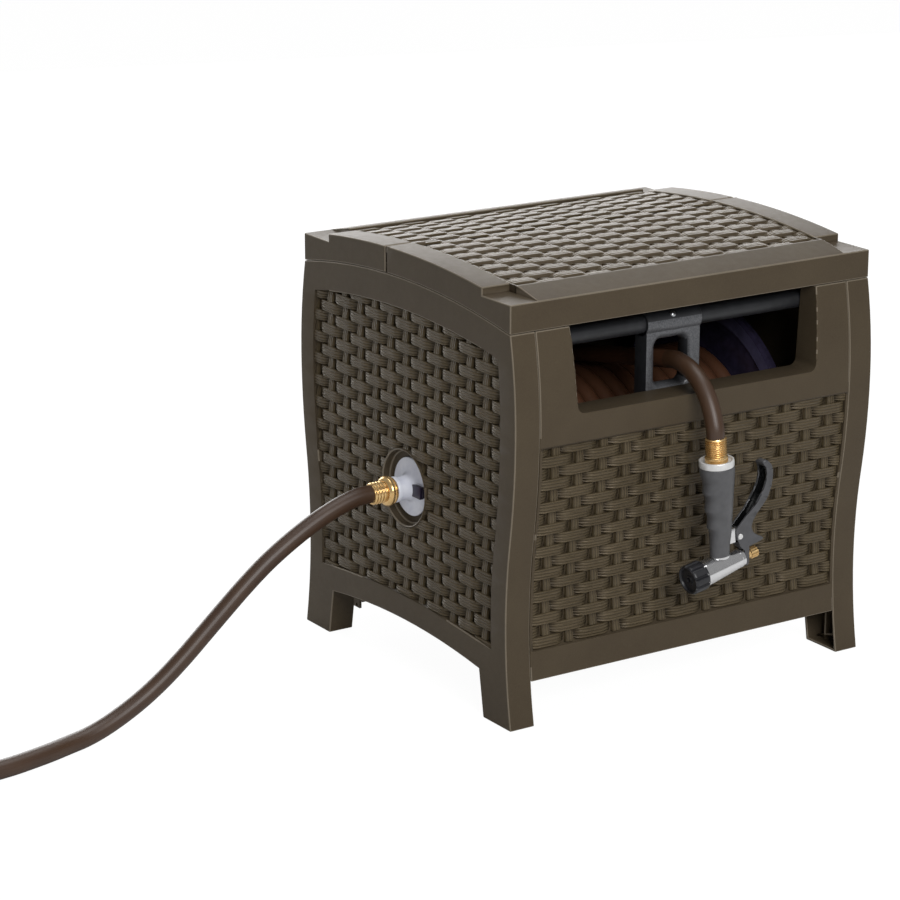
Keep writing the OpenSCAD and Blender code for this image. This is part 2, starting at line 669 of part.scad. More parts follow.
// Leader hose from the inlet down to the ground, its points chosen by hand
leader_route = [[leader_x, reel_y, reel_z], [leader_x - 6, reel_y, reel_z], [-334, 0, 242.2],
    [-348, 0, 239], [-366, 0, 233.2],
    [-384, 0, 226], [-402, 0, 217.5], [-420, 0, 208], [-443, 0, 194.5], [-467, 0, 178.5],
    [-495, 0, 156.5], [-523, 0, 132.5], [-551, 0, 108], [-578, 0, 84.5], [-606, 0, 62.5],
    [-633, 0, 44.5], [-660, -1, 30.5], [-687, -3, 19.8], [-713, -6, 13.2], [-740, -12, hose_r],
    [-767, -21, hose_r], [-795, -28.5, hose_r], [-822, -34.5, hose_r], [-850, -38, hose_r],
    [-878, -40.5, hose_r], [-906, -42, hose_r], [-940, -42, hose_r],
    [loop_in_x, loop_y - loop_r, hose_r]];
module leader_hose() color(hose_color) sweep(leader_route, hose_r, 8, [0, 1, 0]);
module leader_coil() color(hose_color) sweep(leader_coil_route, hose_r, 8, [0, 0, 1]);

// Coupling for the tap at the far end of the leader hose
tap_at = bend_end + loop_run * loop_dir + [0, 0, tap_z];
tap_turn = atan2(-loop_dir[1], -loop_dir[0]);
module at_tap() translate(tap_at) rotate([0, 0, tap_turn])
    translate([-nut_len - play - sleeve_len, 0, 0]) children();
module tap_ferrule() color(brass) at_tap() ferrule(0, 5);
module tap_nut() color(brass) at_tap() swivel_nut(0);
module tap_washer() color(dark) at_tap()
    hose_washer(nut_len - nut_wall - neck_flange - 2 * play - washer_len);

// Bearings pressed into the two ports
bush_x = disc_x - wall - 9;
module bearing_bush() at_reel() difference() {
    union() {
        bar_x(bush_x + 1, disc_x, bush_r);
        bar_x(bush_x, bush_x + 3 - play, bush_r + 2.5);
    }
    bar_x(bush_x - 1, disc_x + 1, journal_r + running);
}
module bearing_bush_left() color(dark) mirror([1, 0, 0]) bearing_bush();
module bearing_bush_right() color(dark) bearing_bush();

// Reel: a drum between two ribbed flanges, turning on the inlet tube and the crank shaft
drum_wall = 3;
flange_t = 3;
out_x = reel_half - 34;     // where the hose leaves the drum
out_r = 11;
module reel_drum() {
    color(dark) at_reel() difference() {
        bar_x(-reel_half, reel_half, drum_r);
        bar_x(-reel_half - 1, reel_half + 1, drum_r - drum_wall);
        // hole for the hose's inner end
        translate([-out_x, 0, 0]) cylinder(h = 2 * drum_r, r = out_r + 1, $fn = 48);
    }
}
hub_r = journal_r + 6;
hub_end = bush_x - 22;
web_deep = 9;
module reel_flange(bore) {
    at_reel() difference() {
        union() {
            rotate([0, 90, 0]) translate([0, 0, reel_half]) rotate_extrude($fn = 96)
                polygon([[bore, 0], [flange_r - 24, 0], [flange_r - 21, -1.5], [flange_r - 4, -1.5],
                    [flange_r, 2], [flange_r, web_deep], [flange_r - 3, web_deep],
                    [flange_r - 3, flange_t], [bore, flange_t]]);
            bar_x(reel_half, hub_end, hub_r);
            bar_x(reel_half - 6, reel_half + 1, drum_r - drum_wall - running);
            for (a = [0:45:315]) rotate([a, 0, 0])
                translate([reel_half + flange_t - 1, -1.25, hub_r - 2])
                    cube([web_deep - 2, 2.5, flange_r - hub_r - 1]);
            bar_x(reel_half, reel_half + web_deep, drum_r);
        }
        bar_x(reel_half - 7, hub_end + 1, bore);
    }
}
module reel_flange_left() color(dark) mirror([1, 0, 0]) reel_flange(journal_r + running);
module reel_flange_right() color(dark) reel_flange(journal_r + running);

// Elbow inside the drum that leads the water from the inlet to the hose
module reel_out_tube() {
    color(white) at_reel() difference() {
        union() {
            bar_x(-reel_half + 8, -out_x + 10, out_r);
            bar_x(-hub_x + 2, -reel_half + 10, journal_r - 0.5);
            translate([-out_x, 0, 0]) cylinder(h = drum_r + 14, r = out_r - 1, $fn = 48);
        }
        bar_x(-hub_x + 1, -out_x + 4, 8);
        translate([-out_x, 0, 0]) cylinder(h = drum_r + 15, r = 6.5, $fn = 48);
    }
}

// Wound hose: the outer layer as one helix over a plain core
wound_pitch = hose_d + 0.6;
wound_turns = floor((2 * reel_half - hose_d - play) / wound_pitch);
wound_half = wound_turns * wound_pitch / 2;
turn_steps = 24;
helix = [for (i = [0:wound_turns * turn_steps]) let (a = -90 + 360 * i / turn_steps)
    [-wound_half + wound_pitch * i / turn_steps, reel_y + wound_r * cos(a), reel_z + wound_r * sin(a)]];
helix_n = len(helix) - 1;
// both ends run straight for one diameter
wound_route = concat([helix[0] - hose_d * unit(helix[1] - helix[0])], helix,
    [helix[helix_n] + hose_d * unit(helix[helix_n] - helix[helix_n - 1])]);
module wound_hose() color(hose_color) sweep(wound_route, hose_r, 6, [1, 0, 0], true);
fill_r = wound_r * cos(180 / turn_steps) - hose_r - play;
module wound_core() {
    color(hose_color) at_reel() rotate([0, 90, 0]) rotate_extrude($fn = 64)
        polygon([[drum_r + play, -core_half], [fill_r, -core_half], [fill_r, core_half],
            [drum_r + play, core_half], [drum_r + play, core_half - 5], [fill_r - 7, core_half - 5],
            [fill_r - 7, -core_half + 5], [drum_r + play, -core_half + 5]]);
}
core_half = reel_half - play;
// Least gap of the winding to itself, measured between points about one turn apart
least_gap = min([for (i = [0:len(wound_route) - turn_steps - 3]) for (k = [-2:2])
    norm(wound_route[i + turn_steps + k] - wound_route[i])]) - hose_d;
echo(least_gap_in_the_winding = least_gap);

// Crank on the right: shaft, arm, screw, and a handle that turns on its spindle
shaft_end = disc_x + 6;
arm_x = face_x + 4;
arm_t = 10;
module crank_shaft() {
    color(dark) at_reel() difference() {
        union() {
            bar_x(reel_half + 2, shaft_end, journal_r);
            bar_x(shaft_end - 1, arm_x - play, journal_r - 4);
        }
        bar_x(arm_x - 20, arm_x, 2.6);
    }
}
module crank_arm() {
    color(dark) at_reel() difference() {
        union() {
            bar_x(arm_x, arm_x + arm_t + 4, journal_r + 1);
            translate([0, 0, -crank_throw]) bar_x(arm_x + 2, arm_x + arm_t + 2, 12);
            along_x(arm_x + 3, arm_x + arm_t) polygon([[-14, -4], [14, -4], [10, -crank_throw],
                [-10, -crank_throw]]);
            along_x(arm_x + 1, arm_x + arm_t + 2) polygon([[-2, -8], [2, -8], [2, -crank_throw + 8],
                [-2, -crank_throw + 8]]);
        }
        bar_x(arm_x - 1, arm_x + arm_t + 5, 2.6);
        bar_x(arm_x + arm_t, arm_x + arm_t + 5, 6);
        translate([0, 0, -crank_throw]) bar_x(arm_x, arm_x + arm_t + 3, spindle_r + running);
    }
}
module crank_screw() {
    color(chrome) at_reel() union() {
        bar_x(arm_x - 16, arm_x + arm_t, 2.5);
        bar_x(arm_x + arm_t, arm_x + arm_t + 3, 5.5);
    }
}
spindle_r = 4.5;
knob_x = arm_x + arm_t + 3;
module handle_spindle() {
    color(chrome) at_reel() translate([0, 0, -crank_throw]) union() {
        bar_x(arm_x + 1, knob_x + knob_len - 4, spindle_r);
        bar_x(knob_x + knob_len - 4, knob_x + knob_len - 1, spindle_r + 3.5);
    }
}
module crank_handle() {
    color(dark) at_reel() translate([knob_x, 0, -crank_throw]) rotate([0, 90, 0])
        rotate_extrude($fn = 64) polygon([[spindle_r + running, 0], [11, 0], [13, 3], [12, 10],
            [13.5, 26], [15, 46], [14.5, knob_len - 16], [13, knob_len - 4], [10.5, knob_len],
            [spindle_r + 4, knob_len], [spindle_r + 4, knob_len - 4.4],
            [spindle_r + running, knob_len - 4.4]]);
}

// Guide that slides along the rod and steers the hose
guide_t = 23;
guide_front = reveal_y + slit;
guide_low = window_z - 12;
saddle_r = rod_r + 4.5;
module rounded_rect(x0, x1, z0, z1, r) {
    polygon(concat(
        [for (a = [180:18:270]) [x0 + r + r * cos(a), z0 + r + r * sin(a)]],
        [for (a = [270:18:360]) [x1 - r + r * cos(a), z0 + r + r * sin(a)]],
        [for (a = [0:18:90]) [x1 - r + r * cos(a), z1 - r + r * sin(a)]],
        [for (a = [90:18:180]) [x0 + r + r * cos(a), z1 - r + r * sin(a)]]));
}
module guide_carriage() {
    color(dark) translate([guide_x, 0, 0]) difference() {
        union() {
            along_y(guide_front, guide_front + guide_t)
                rounded_rect(-guide_w / 2, guide_w / 2, guide_low, rod_z + 4, 4);
            at_rod() bar_x(-guide_w / 2, guide_w / 2, saddle_r);
        }
        at_rod() bar_x(-guide_w, guide_w, rod_r + 2 * running);
        along_y(guide_front - 5, guide_front + guide_t + 5)
            rounded_rect(-eye_w / 2, eye_w / 2, eye_low_z, eye_top_z, 9);
        // rebate round the eye, front and back
        for (y = [guide_front - 5, guide_front + guide_t - 2]) along_y(y, y + 7)
            rounded_rect(-eye_w / 2 - 3, eye_w / 2 + 3, eye_low_z - 3, eye_top_z + 3, 12);
        at_rod() translate([0, 0, rod_r - 1]) cylinder(h = 10, r = 2.1, $fn = 24);
    }
}
module guide_screw() {
    color(chrome) translate([guide_x, rod_y, rod_z]) union() {
        translate([0, 0, rod_r + 0.6]) cylinder(h = saddle_r - rod_r, r = 2, $fn = 24);
        translate([0, 0, saddle_r]) cylinder(h = 2.5, r = 4, $fn = 32);
    }
}

// Last half turn of hose, lying on the winding, and its run through the eye of the guide
wrap_steps = 14;
wrap_r = (wound_r + hose_r * sin(60) + hose_r + play) / cos(90 / wrap_steps);
eye_z = eye_low_z + 28;
eye_in = guide_front + guide_t / 2;
eye_run = [eye_in - reel_y, eye_z - reel_z];
wrap_start = -90;
wrap_off = atan2(eye_run[1], eye_run[0]) - acos(wrap_r / norm(eye_run));
eye_dir = [0, -sin(wrap_off), cos(wrap_off)];
wrap_route = concat(
    [for (i = [0:wrap_steps]) let (a = lerp(wrap_start, wrap_off, i / wrap_steps))
        [guide_x, reel_y + wrap_r * cos(a), reel_z + wrap_r * sin(a)]],
    [for (i = [1:4]) let (y0 = reel_y + wrap_r * cos(wrap_off), z0 = reel_z + wrap_r * sin(wrap_off))
        [guide_x, lerp(y0, eye_in, i / 4), lerp(z0, eye_z, i / 4)]]);
module wrap_hose() color(hose_color) sweep(wrap_route, hose_r, 8, [1, 0, 0]);

// Free end of the hose, hanging from the eye down to the nozzle, its points chosen by hand
nozzle_y = -285;
ferrule_z = 336;
lean = 4.6;                 // the nozzle hangs with a slight lean from its ferrule
hang_dir = [sin(lean), 0, -cos(lean)];
hose_end = [guide_x, nozzle_y, ferrule_z] - play * hang_dir;
tail_route = [[guide_x, eye_in, eye_z], [guide_x, eye_in, eye_z] + 9 * eye_dir,
    [guide_x, -210, 413.5], [guide_x, -226, 410.5], [guide_x, -242, 403.5], [guide_x, -257, 392.5],
    [guide_x, -269, 378.5], [guide_x - 0.4, -278, 363], [guide_x - 0.9, nozzle_y + 1.5, 350],
    hose_end - 7 * hang_dir, hose_end];
module tail_hose() color(hose_color) sweep(tail_route, hose_r, 8, [1, 0, 0]);

// Nozzle: drawn about its own upright handle, then leant
module at_nozzle() translate([guide_x, nozzle_y, ferrule_z]) rotate([0, -lean, 0])
    translate([0, 0, -ferrule_z]) children();
module bar_z(z0, z1, r) translate([0, 0, z0]) cylinder(h = z1 - z0, r = r, $fn = 48);
grip_top = 300;
collar_top = grip_top + 5.5;
core_top = 222;             // top of the metal core in the handle
core_r = 7;
module tail_ferrule() {
    color(brass) at_nozzle() union() {
        bar_z(collar_top + play, ferrule_z, hose_r + 0.7);
        bar_z(collar_top + play, collar_top + 7, 14.2);
        for (i = [0:7]) translate([0, 0, collar_top + 10 + i * 2.7]) rotate([0, -90, 0])
            rib_ring(hose_r, hose_r + 1.6, 1.1);
    }
}
module nozzle_collar() {
    color(chrome) at_nozzle() difference() {
        union() {
            bar_z(grip_top - 4, grip_top + 1, 17);
            bar_z(grip_top + play, collar_top + 3, 21.4);
        }
        bar_z(collar_top, collar_top + 4, 18.4);
    }
}
// Handle: rings of [height, lever side, finger side, half thickness], with three finger grooves
grip_rings = [[185, 11, 16.5, 12.5], [189, 11.5, 16, 12.3], [194, 12.6, 14.5, 12],
    [201, 13.9, 13, 12], [209.5, 15.2, 13, 12.4], [217.3, 16.4, 15.2, 13], [226, 17.2, 14.2, 13.6],
    [234.5, 18, 14.9, 14.3], [241, 18.6, 17.9, 14.9], [251, 19.4, 17, 15.6], [260, 20.1, 17.2, 16.3],
    [265.5, 20.6, 18.8, 16.8], [271, 21.2, 18.3, 17.3], [278, 22, 17.9, 18.2], [286, 22.4, 20.2, 19.5],
    [292, 22.3, 21.6, 20.5], [grip_top, 21.4, 21.4, 21.2]];
module grip_shape(sides) {
    n = len(grip_rings);
    polyhedron(concat([for (g = grip_rings) for (k = [0:sides - 1]) let (a = 360 * k / sides)
            [(cos(a) > 0 ? g[1] : g[2]) * cos(a), g[3] * sin(a), g[0]]],
            [[0, 0, grip_rings[0][0]], [0, 0, grip_rings[n - 1][0]]]),
        concat([for (i = [0:n - 2]) for (k = [0:sides - 1]) let (m = (k + 1) % sides)
            [i * sides + k, (i + 1) * sides + k, (i + 1) * sides + m]],
            [for (i = [0:n - 2]) for (k = [0:sides - 1]) let (m = (k + 1) % sides)
            [i * sides + k, (i + 1) * sides + m, i * sides + m]],
            [for (k = [0:sides - 1]) [n * sides, k, (k + 1) % sides]],
            [for (k = [0:sides - 1]) [n * sides + 1, (n - 1) * sides + (k + 1) % sides,
                (n - 1) * sides + k]]));
}
module nozzle_grip() {
    color(dark) at_nozzle() difference() {
        union() {
            grip_shape(24);
            // tab beside the collar
            translate([20, -7, grip_top - 6]) cube([3.4, 14, 13]);
        }
        bar_z(grip_rings[0][0] - 1, core_top + play, core_r + running);
        bar_z(core_top, grip_top + 1, 6);
        bar_z(grip_top - 4 - play, grip_top + 1, 17 + running);
        bar_z(grip_top, grip_top + 10, 21.4 + play);
        // slot for the lever's lug
        translate([0, -lug_half - running, pivot_z - 6 - running])
            cube([30, 2 * (lug_half + running), 17 + 2 * running]);
    }
}
// Barrel of the nozzle, tilted down towards its dial, with the handle's core and the lever's lug
tilt = 6;
barrel_x = 31;
barrel_z = 172.2;
barrel_len = 57;
pivot_x = 25.5;
pivot_z = 205;
stem_r = 4;
lug_half = 4.2;
module at_barrel() at_nozzle() translate([barrel_x, 0, barrel_z]) rotate([0, -tilt, 0])
    mirror([1, 0, 0]) children();
module pin_hole(r, half) translate([pivot_x, -half, pivot_z]) rotate([-90, 0, 0])
    cylinder(h = 2 * half, r = r, $fn = 32);
module nozzle_barrel() {
    color(chrome) difference() {
        union() {
            at_barrel() rotate([0, 90, 0]) rotate_extrude($fn = 64) polygon([[0, 0], [9, 0], [10.5, 2],
                [11.5, 10], [12.8, 22], [14.2, 38], [15.2, 50], [14.6, 53], [14.6, barrel_len],
                [0, barrel_len]]);
            at_nozzle() {
                bar_z(barrel_z, core_top, core_r);
                translate([-13, -8, barrel_z]) cube([23, 16, grip_rings[0][0] - barrel_z - play]);
                along_y(-6, 6) polygon([[8, 178], [25, 178], [19, 187], [16, 191], [13, 192],
                    [13, 184], [8, 184]]);
                pin_hole(6.2, lug_half);
                translate([0, -lug_half, pivot_z - 6]) cube([pivot_x - 6, 2 * lug_half, 17]);
                translate([0, -lug_half, pivot_z - 6]) cube([pivot_x, 2 * lug_half, 12]);
            }
        }
        at_barrel() bar_x(-1, 34, stem_r + running);
        at_barrel() bar_x(33, barrel_len + 1, 9);
        at_nozzle() pin_hole(2 + running, 12);
    }
}
module nozzle_trigger() {
    color(dark) at_nozzle() difference() {
        along_y(-7.5, 7.5) polygon([[65.4, 296], [61.5, 294.5], [62.5, 291], [66.5, 287], [67.3, 281],
            [66.3, 271.5], [62.3, 261], [56.8, 251.5], [49.8, 242], [41.8, 233], [33, 225.5],
            [22.5, 216.5], [19.8, 212], [20.3, 204.5], [26, 191], [barrel_x + 1, 185],
            [barrel_x + 1, 167], [34, 165], [37, 166.5], [38.2, 172], [38.8, 181], [39.2, 189],
            [49, 190.3], [56.6, 191.6], [60.6, 193.4], [60.2, 195.6], [56.6, 197.6], [49.6, 201.7],
            [45.4, 206.5], [43.4, 213], [46, 220], [52.2, 228.2], [58.5, 237.7], [64.8, 247.2],
            [70.5, 259.3], [73.5, 270.9], [75, 280.3], [73, 289], [69.4, 294.2]]);
        // channel on the lever's inner side
        along_y(-4.7, 4.7) polygon([[8, 197], [8, 217], [26, 234], [44, 252], [56, 270], [60, 287.5],
            [70.4, 287.5], [71.2, 280.4], [69.8, 271.6], [66.8, 260.6], [61.2, 249], [55, 239.6],
            [48.6, 230.2], [42.2, 221.8], [39.2, 213], [39, 197]]);
        // fork that straddles the valve stem
        translate([barrel_x - 1, -stem_r - 0.6, 160]) cube([12, 2 * stem_r + 1.2, 27]);
        pin_hole(2.1, 9);
    }
}
module trigger_pin() {
    color(chrome) at_nozzle() union() {
        pin_hole(2, 8.2);
        for (s = [-1, 1]) translate([pivot_x, s * 8.6, pivot_z]) rotate([90, 0, 0])
            cylinder(h = 1.6, r = 3.4, center = true, $fn = 32);
    }
}
module valve_stem() {
    color(chrome) at_barrel() bar_x(-26, 32, stem_r);
}
module flow_nut() {
    color(brass) at_barrel() difference() {
        union() {
            bar_x(-24, -12.5, 7);
            bar_x(-22, -17, 7.4);
            bar_x(-12.5, -9.5, 5.5);
        }
        bar_x(-25, -9, stem_r + running);
    }
}
dial_r = 18.6;
dial_end = barrel_len + 26;
module spray_dial() {
    color(dark) at_barrel() difference() {
        union() {
            bar_x(barrel_len - 3, dial_end - 2, dial_r);
            bar_x(dial_end - 2, dial_end, dial_r - 2);
            for (a = [0:30:330]) rotate([a, 0, 0]) translate([barrel_len - 1, -2.4, dial_r - 1.4])
                cube([dial_end - barrel_len - 2, 4.8, 2.8]);
        }
        bar_x(barrel_len - 4, barrel_len + play, 14.9);
        for (a = [0:45:315]) rotate([a, 0, 0]) translate([0, 0, 11])
            bar_x(barrel_len - 4, dial_end + 1, 1.2);
        bar_x(dial_end - 8, dial_end + 1, 5);
    }
}

mirror([1, 0, 0]) side_panel();  // side_panel_left
side_panel();  // side_panel_right
front_panel();
rear_panel();
floor_panel();
lid_rear();
lid_front();
lid_hinge_pins();
guide_rod();
rod_sockets();
panel_screws();
inlet_tube();
inlet_lock_clip();
inlet_washer();
inlet_nut();
leader_ferrule();
leader_hose();
leader_coil();
tap_ferrule();
tap_nut();
tap_washer();
bearing_bush_left();
bearing_bush_right();
reel_drum();
reel_flange_left();
reel_flange_right();
reel_out_tube();
wound_hose();
wound_core();
crank_shaft();
crank_arm();
crank_screw();
handle_spindle();
crank_handle();
guide_carriage();
guide_screw();
wrap_hose();
tail_hose();
tail_ferrule();
nozzle_collar();
nozzle_grip();
nozzle_barrel();
nozzle_trigger();
trigger_pin();
valve_stem();
flow_nut();
spray_dial();
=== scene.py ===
import math

import bmesh
import bpy
from mathutils import Matrix, Vector, noise


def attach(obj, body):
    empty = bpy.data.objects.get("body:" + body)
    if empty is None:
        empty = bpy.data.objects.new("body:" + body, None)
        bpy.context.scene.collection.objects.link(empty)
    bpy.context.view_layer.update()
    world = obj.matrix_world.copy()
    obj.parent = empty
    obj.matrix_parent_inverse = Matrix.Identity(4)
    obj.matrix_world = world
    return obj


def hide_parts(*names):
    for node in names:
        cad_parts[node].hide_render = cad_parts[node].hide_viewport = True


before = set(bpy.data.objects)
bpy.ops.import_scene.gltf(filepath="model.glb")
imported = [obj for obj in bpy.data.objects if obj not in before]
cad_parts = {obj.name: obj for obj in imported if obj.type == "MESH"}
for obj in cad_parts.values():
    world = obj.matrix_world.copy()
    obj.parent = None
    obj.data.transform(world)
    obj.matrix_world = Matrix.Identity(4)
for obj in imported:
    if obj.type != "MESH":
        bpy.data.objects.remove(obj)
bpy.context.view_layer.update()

scene = bpy.context.scene
scene.view_settings.view_transform = "Standard"

# The cabinet's leading sizes, in millimetres, as in the CAD source
cabinet = {
    "faceX": 269.0, "footY": 237.5, "waistY": 225.5, "waistZ": 130.0, "bulgeY": 243.2,
    "bulgeZ": 365.0, "lidY": 231.0, "lidLowZ": 486.0, "rimY": 172.0, "rimEndZ": 530.6,
    "crownZ": 541.0, "windowZ": 381.0, "reelZ": 243.0, "hoseR": 11.25, "guideX": -8.0,
    "nozzleY": -285.0,
}


def linearColor(code):
    channels = [int(code[i:i + 2], 16) / 255 for i in (1, 3, 5)]
    return [c / 12.92 if c <= 0.04045 else ((c + 0.055) / 1.055) ** 2.4 for c in channels] + [1.0]


def metres(x, y, z):
    return Vector((x, y, z)) / 1000


def clamp(value, low, high):
    return min(max(value, low), high)


def easeStep(low, high, value):
    t = clamp((value - low) / (high - low), 0, 1)
    return t * t * (3 - 2 * t)


# Half depth of the cabinet at a height: two tangent arcs and a shoulder, as in the CAD source
def edgeY(z):
    c = cabinet
    lowBend = (c["footY"] - c["waistY"]) / c["waistZ"] ** 2
    rise = c["bulgeZ"] - c["waistZ"]
    upBend = 1 / (rise ** 2 / (c["bulgeY"] - c["waistY"]) - 1 / lowBend)
    bendZ = c["waistZ"] + rise * upBend / (lowBend + upBend)
    if z < bendZ:
        return c["waistY"] + lowBend * (z - c["waistZ"]) ** 2
    if z < c["bulgeZ"]:
        return c["bulgeY"] - upBend * (z - c["bulgeZ"]) ** 2
    topBend = (c["bulgeY"] - c["lidY"]) / (c["lidLowZ"] - c["bulgeZ"]) ** 2
    return c["bulgeY"] - topBend * (z - c["bulgeZ"]) ** 2


def rimLine(y):
    return cabinet["crownZ"] - (cabinet["crownZ"] - cabinet["rimEndZ"]) * (y / cabinet["rimY"]) ** 2


# Camera, solved from the photograph's edges: degrees, metres, and pixels for the focal length and the frame
viewpoint = {"azimuth": -33.3042, "elevation": 16.4702, "roll": 0.0917, "distance": 3.8668,
             "focal": 3036.1259, "frame": 900, "sensor": 36, "shiftRight": -0.1668, "shiftUp": -0.0303,
             "targetZ": 0.28}


def placeCamera():
    v = viewpoint
    a, e, r = (math.radians(v[key]) for key in ("azimuth", "elevation", "roll"))
    back = Vector((math.sin(a) * math.cos(e), -math.cos(a) * math.cos(e), math.sin(e)))
    level = Vector((math.cos(a), math.sin(a), 0))
    rise = back.cross(level)
    right = level * math.cos(r) + rise * math.sin(r)
    up = rise * math.cos(r) - level * math.sin(r)
    place = Vector((0, 0, v["targetZ"])) + back * v["distance"]
    place += right * v["shiftRight"] + up * v["shiftUp"]
    camera = bpy.data.objects.new("camera", bpy.data.cameras.new("camera"))
    scene.collection.objects.link(camera)
    turn = Matrix((right, up, back)).transposed().to_4x4()
    camera.matrix_world = Matrix.Translation(place) @ turn
    camera.data.sensor_width = v["sensor"]
    camera.data.lens = v["focal"] * v["sensor"] / v["frame"]
    camera.data.clip_end = 50
    scene.camera = camera


placeCamera()
print("camera in place")

# Materials


def newMaterial(name):
    material = bpy.data.materials.new(name)
    material.use_nodes = True
    tree = material.node_tree
    tree.nodes.clear()
    shader = addNode(tree, "BsdfPrincipled")
    addNode(tree, "OutputMaterial", {"Surface": shader})
    return material, tree, shader


# Inputs by name or number take a value, another node's output, or a node, which stands for its first output
def fill(tree, node, values):
    for key, value in values.items():
        if isinstance(value, bpy.types.Node):
            value = value.outputs[0]
        if isinstance(value, bpy.types.NodeSocket):
            tree.links.new(value, node.inputs[key])
        else:
            node.inputs[key].default_value = value


# Adds one node: settings go to its properties, and stops are the two ends of a ramp between hex colours
def addNode(tree, kind, inputs=None, stops=(), **settings):
    node = tree.nodes.new("ShaderNode" + kind)
    for key, value in settings.items():
        setattr(node, key, value)
    for number, (place, code) in enumerate(stops):
        node.color_ramp.elements[number].position = place
        node.color_ramp.elements[number].color = linearColor(code)
    fill(tree, node, inputs or {})
    return node


# Grain of a pattern with a real size in millimetres, on Object coordinates
def grain(tree, size, detail=2.0):
    place = addNode(tree, "TexCoord").outputs["Object"]
    return addNode(tree, "TexNoise", {"Vector": place, "Scale": 1000 / size, "Detail": detail}).outputs["Fac"]


# Polypropylene in either finish: index of refraction, warm tint of its sheen, and its mottling in millimetres
polypropylene = {"ior": 1.49, "tint": "#ffecd4", "patch": 60, "weavePatch": 50, "glossPatch": 9}


# Moulded polypropylene with a fine eroded grain: a soft, dusty sheen over brown
def mouldedResin(name, low, high, rough=0.5):
    material, tree, shader = newMaterial(name)
    patches = grain(tree, polypropylene["patch"], 3.0)
    speckle = grain(tree, 1.6)  # the real grain is near 0.3 mm, drawn coarser so that it shows
    mixed = addNode(tree, "Math", {0: patches, 1: speckle}, operation="ADD")
    half = addNode(tree, "Math", {0: mixed, 1: 0.5}, operation="MULTIPLY")
    color = addNode(tree, "ValToRGB", {"Fac": half}, [(0.32, low), (0.68, high)])
    gloss = addNode(tree, "MapRange", {"Value": grain(tree, polypropylene["glossPatch"]),
                                       "To Min": rough - 0.05, "To Max": rough + 0.07})
    bump = addNode(tree, "Bump", {"Height": speckle, "Strength": 0.12, "Distance": 0.0003})
    fill(tree, shader, {"Base Color": color, "Roughness": gloss,
                        "IOR": polypropylene["ior"], "Specular IOR Level": 0.4,
                        "Specular Tint": linearColor(polypropylene["tint"]), "Normal": bump})
    return material


resin = mouldedResin("moulded_polypropylene", "#3f362a", "#483f31")
edgeHighlightResin = mouldedResin("moulded_polypropylene_painted_edge_highlight", "#665e51", "#746b5e", 0.36)  # edges painted pale: a painted highlight on every eased edge

# Wicker finish: groove pitch and depth in millimetres, and where the painted shade of a strap's dip begins
# and ends, from 0 to 1
strands = {"pitch": 3.9, "depth": 2.2, "shadeFrom": 0.2, "shadeTo": 0.9}


# The same resin moulded as wicker: fine grooves along each strap, with painted shade darkening the grooves
# and the dips between the crowns
def wovenResin(name, low, high, shadeColor):
    material, tree, shader = newMaterial(name)
    parts = addNode(tree, "SeparateXYZ", {"Vector": addNode(tree, "UVMap").outputs["UV"]})
    phase = addNode(tree, "Math", {0: parts.outputs[1], 1: math.pi / strands["pitch"]}, operation="MULTIPLY")
    wave = addNode(tree, "Math", {0: phase}, operation="SINE")
    ridge = addNode(tree, "Math", {0: wave}, operation="ABSOLUTE")
    streaks = addNode(tree, "CombineXYZ", {"X": parts.outputs[0], "Y": parts.outputs[1]})
    stretched = addNode(tree, "Mapping", {"Vector": streaks, "Scale": (0.03, 0.8, 1.0)})
    fibre = addNode(tree, "TexNoise", {"Vector": stretched, "Scale": 1.0, "Detail": 2.0})
    height = addNode(tree, "Math", {0: ridge, 1: fibre.outputs["Fac"]}, operation="MULTIPLY")
    patches = grain(tree, polypropylene["weavePatch"], 3.0)
    plain = addNode(tree, "ValToRGB", {"Fac": patches}, [(0.3, low), (0.7, high)])
    # Painted shade: the grooves between the ridges are darkened towards the shade colour
    grooveShade = addNode(tree, "Math", {0: ridge, 1: 0.7}, operation="POWER")
    grooveMix = addNode(tree, "MapRange", {"Value": grooveShade, "To Min": 0.45})
    color = addNode(tree, "Mix", {0: grooveMix, 6: linearColor(shadeColor), 7: plain}, data_type="RGBA").outputs[2]
    # Painted shade: the straps' dips and the stakes' tops, by their recess attribute, are darkened towards
    # the shade colour
    recess = addNode(tree, "Attribute", attribute_name="recess")
    shade = addNode(tree, "MapRange", {"Value": recess.outputs["Fac"], "From Min": strands["shadeFrom"],
                                       "From Max": strands["shadeTo"]})
    deep = addNode(tree, "Mix", {0: shade, 6: color, 7: linearColor(shadeColor)}, data_type="RGBA")
    bump = addNode(tree, "Bump", {"Height": height, "Strength": 1.0, "Distance": strands["depth"] / 1000})
    gloss = addNode(tree, "MapRange", {"Value": fibre.outputs["Fac"], "To Min": 0.3, "To Max": 0.44})
    fill(tree, shader, {"Base Color": deep.outputs[2], "Roughness": gloss,
                        "IOR": polypropylene["ior"], "Specular IOR Level": 0.5,
                        "Specular Tint": linearColor(polypropylene["tint"]), "Normal": bump})
    return material


# The last colour is the painted shade of the grooves and dips
weaveResin = wovenResin("moulded_polypropylene_weave", "#4c4230", "#594e3b", "#1f1911")


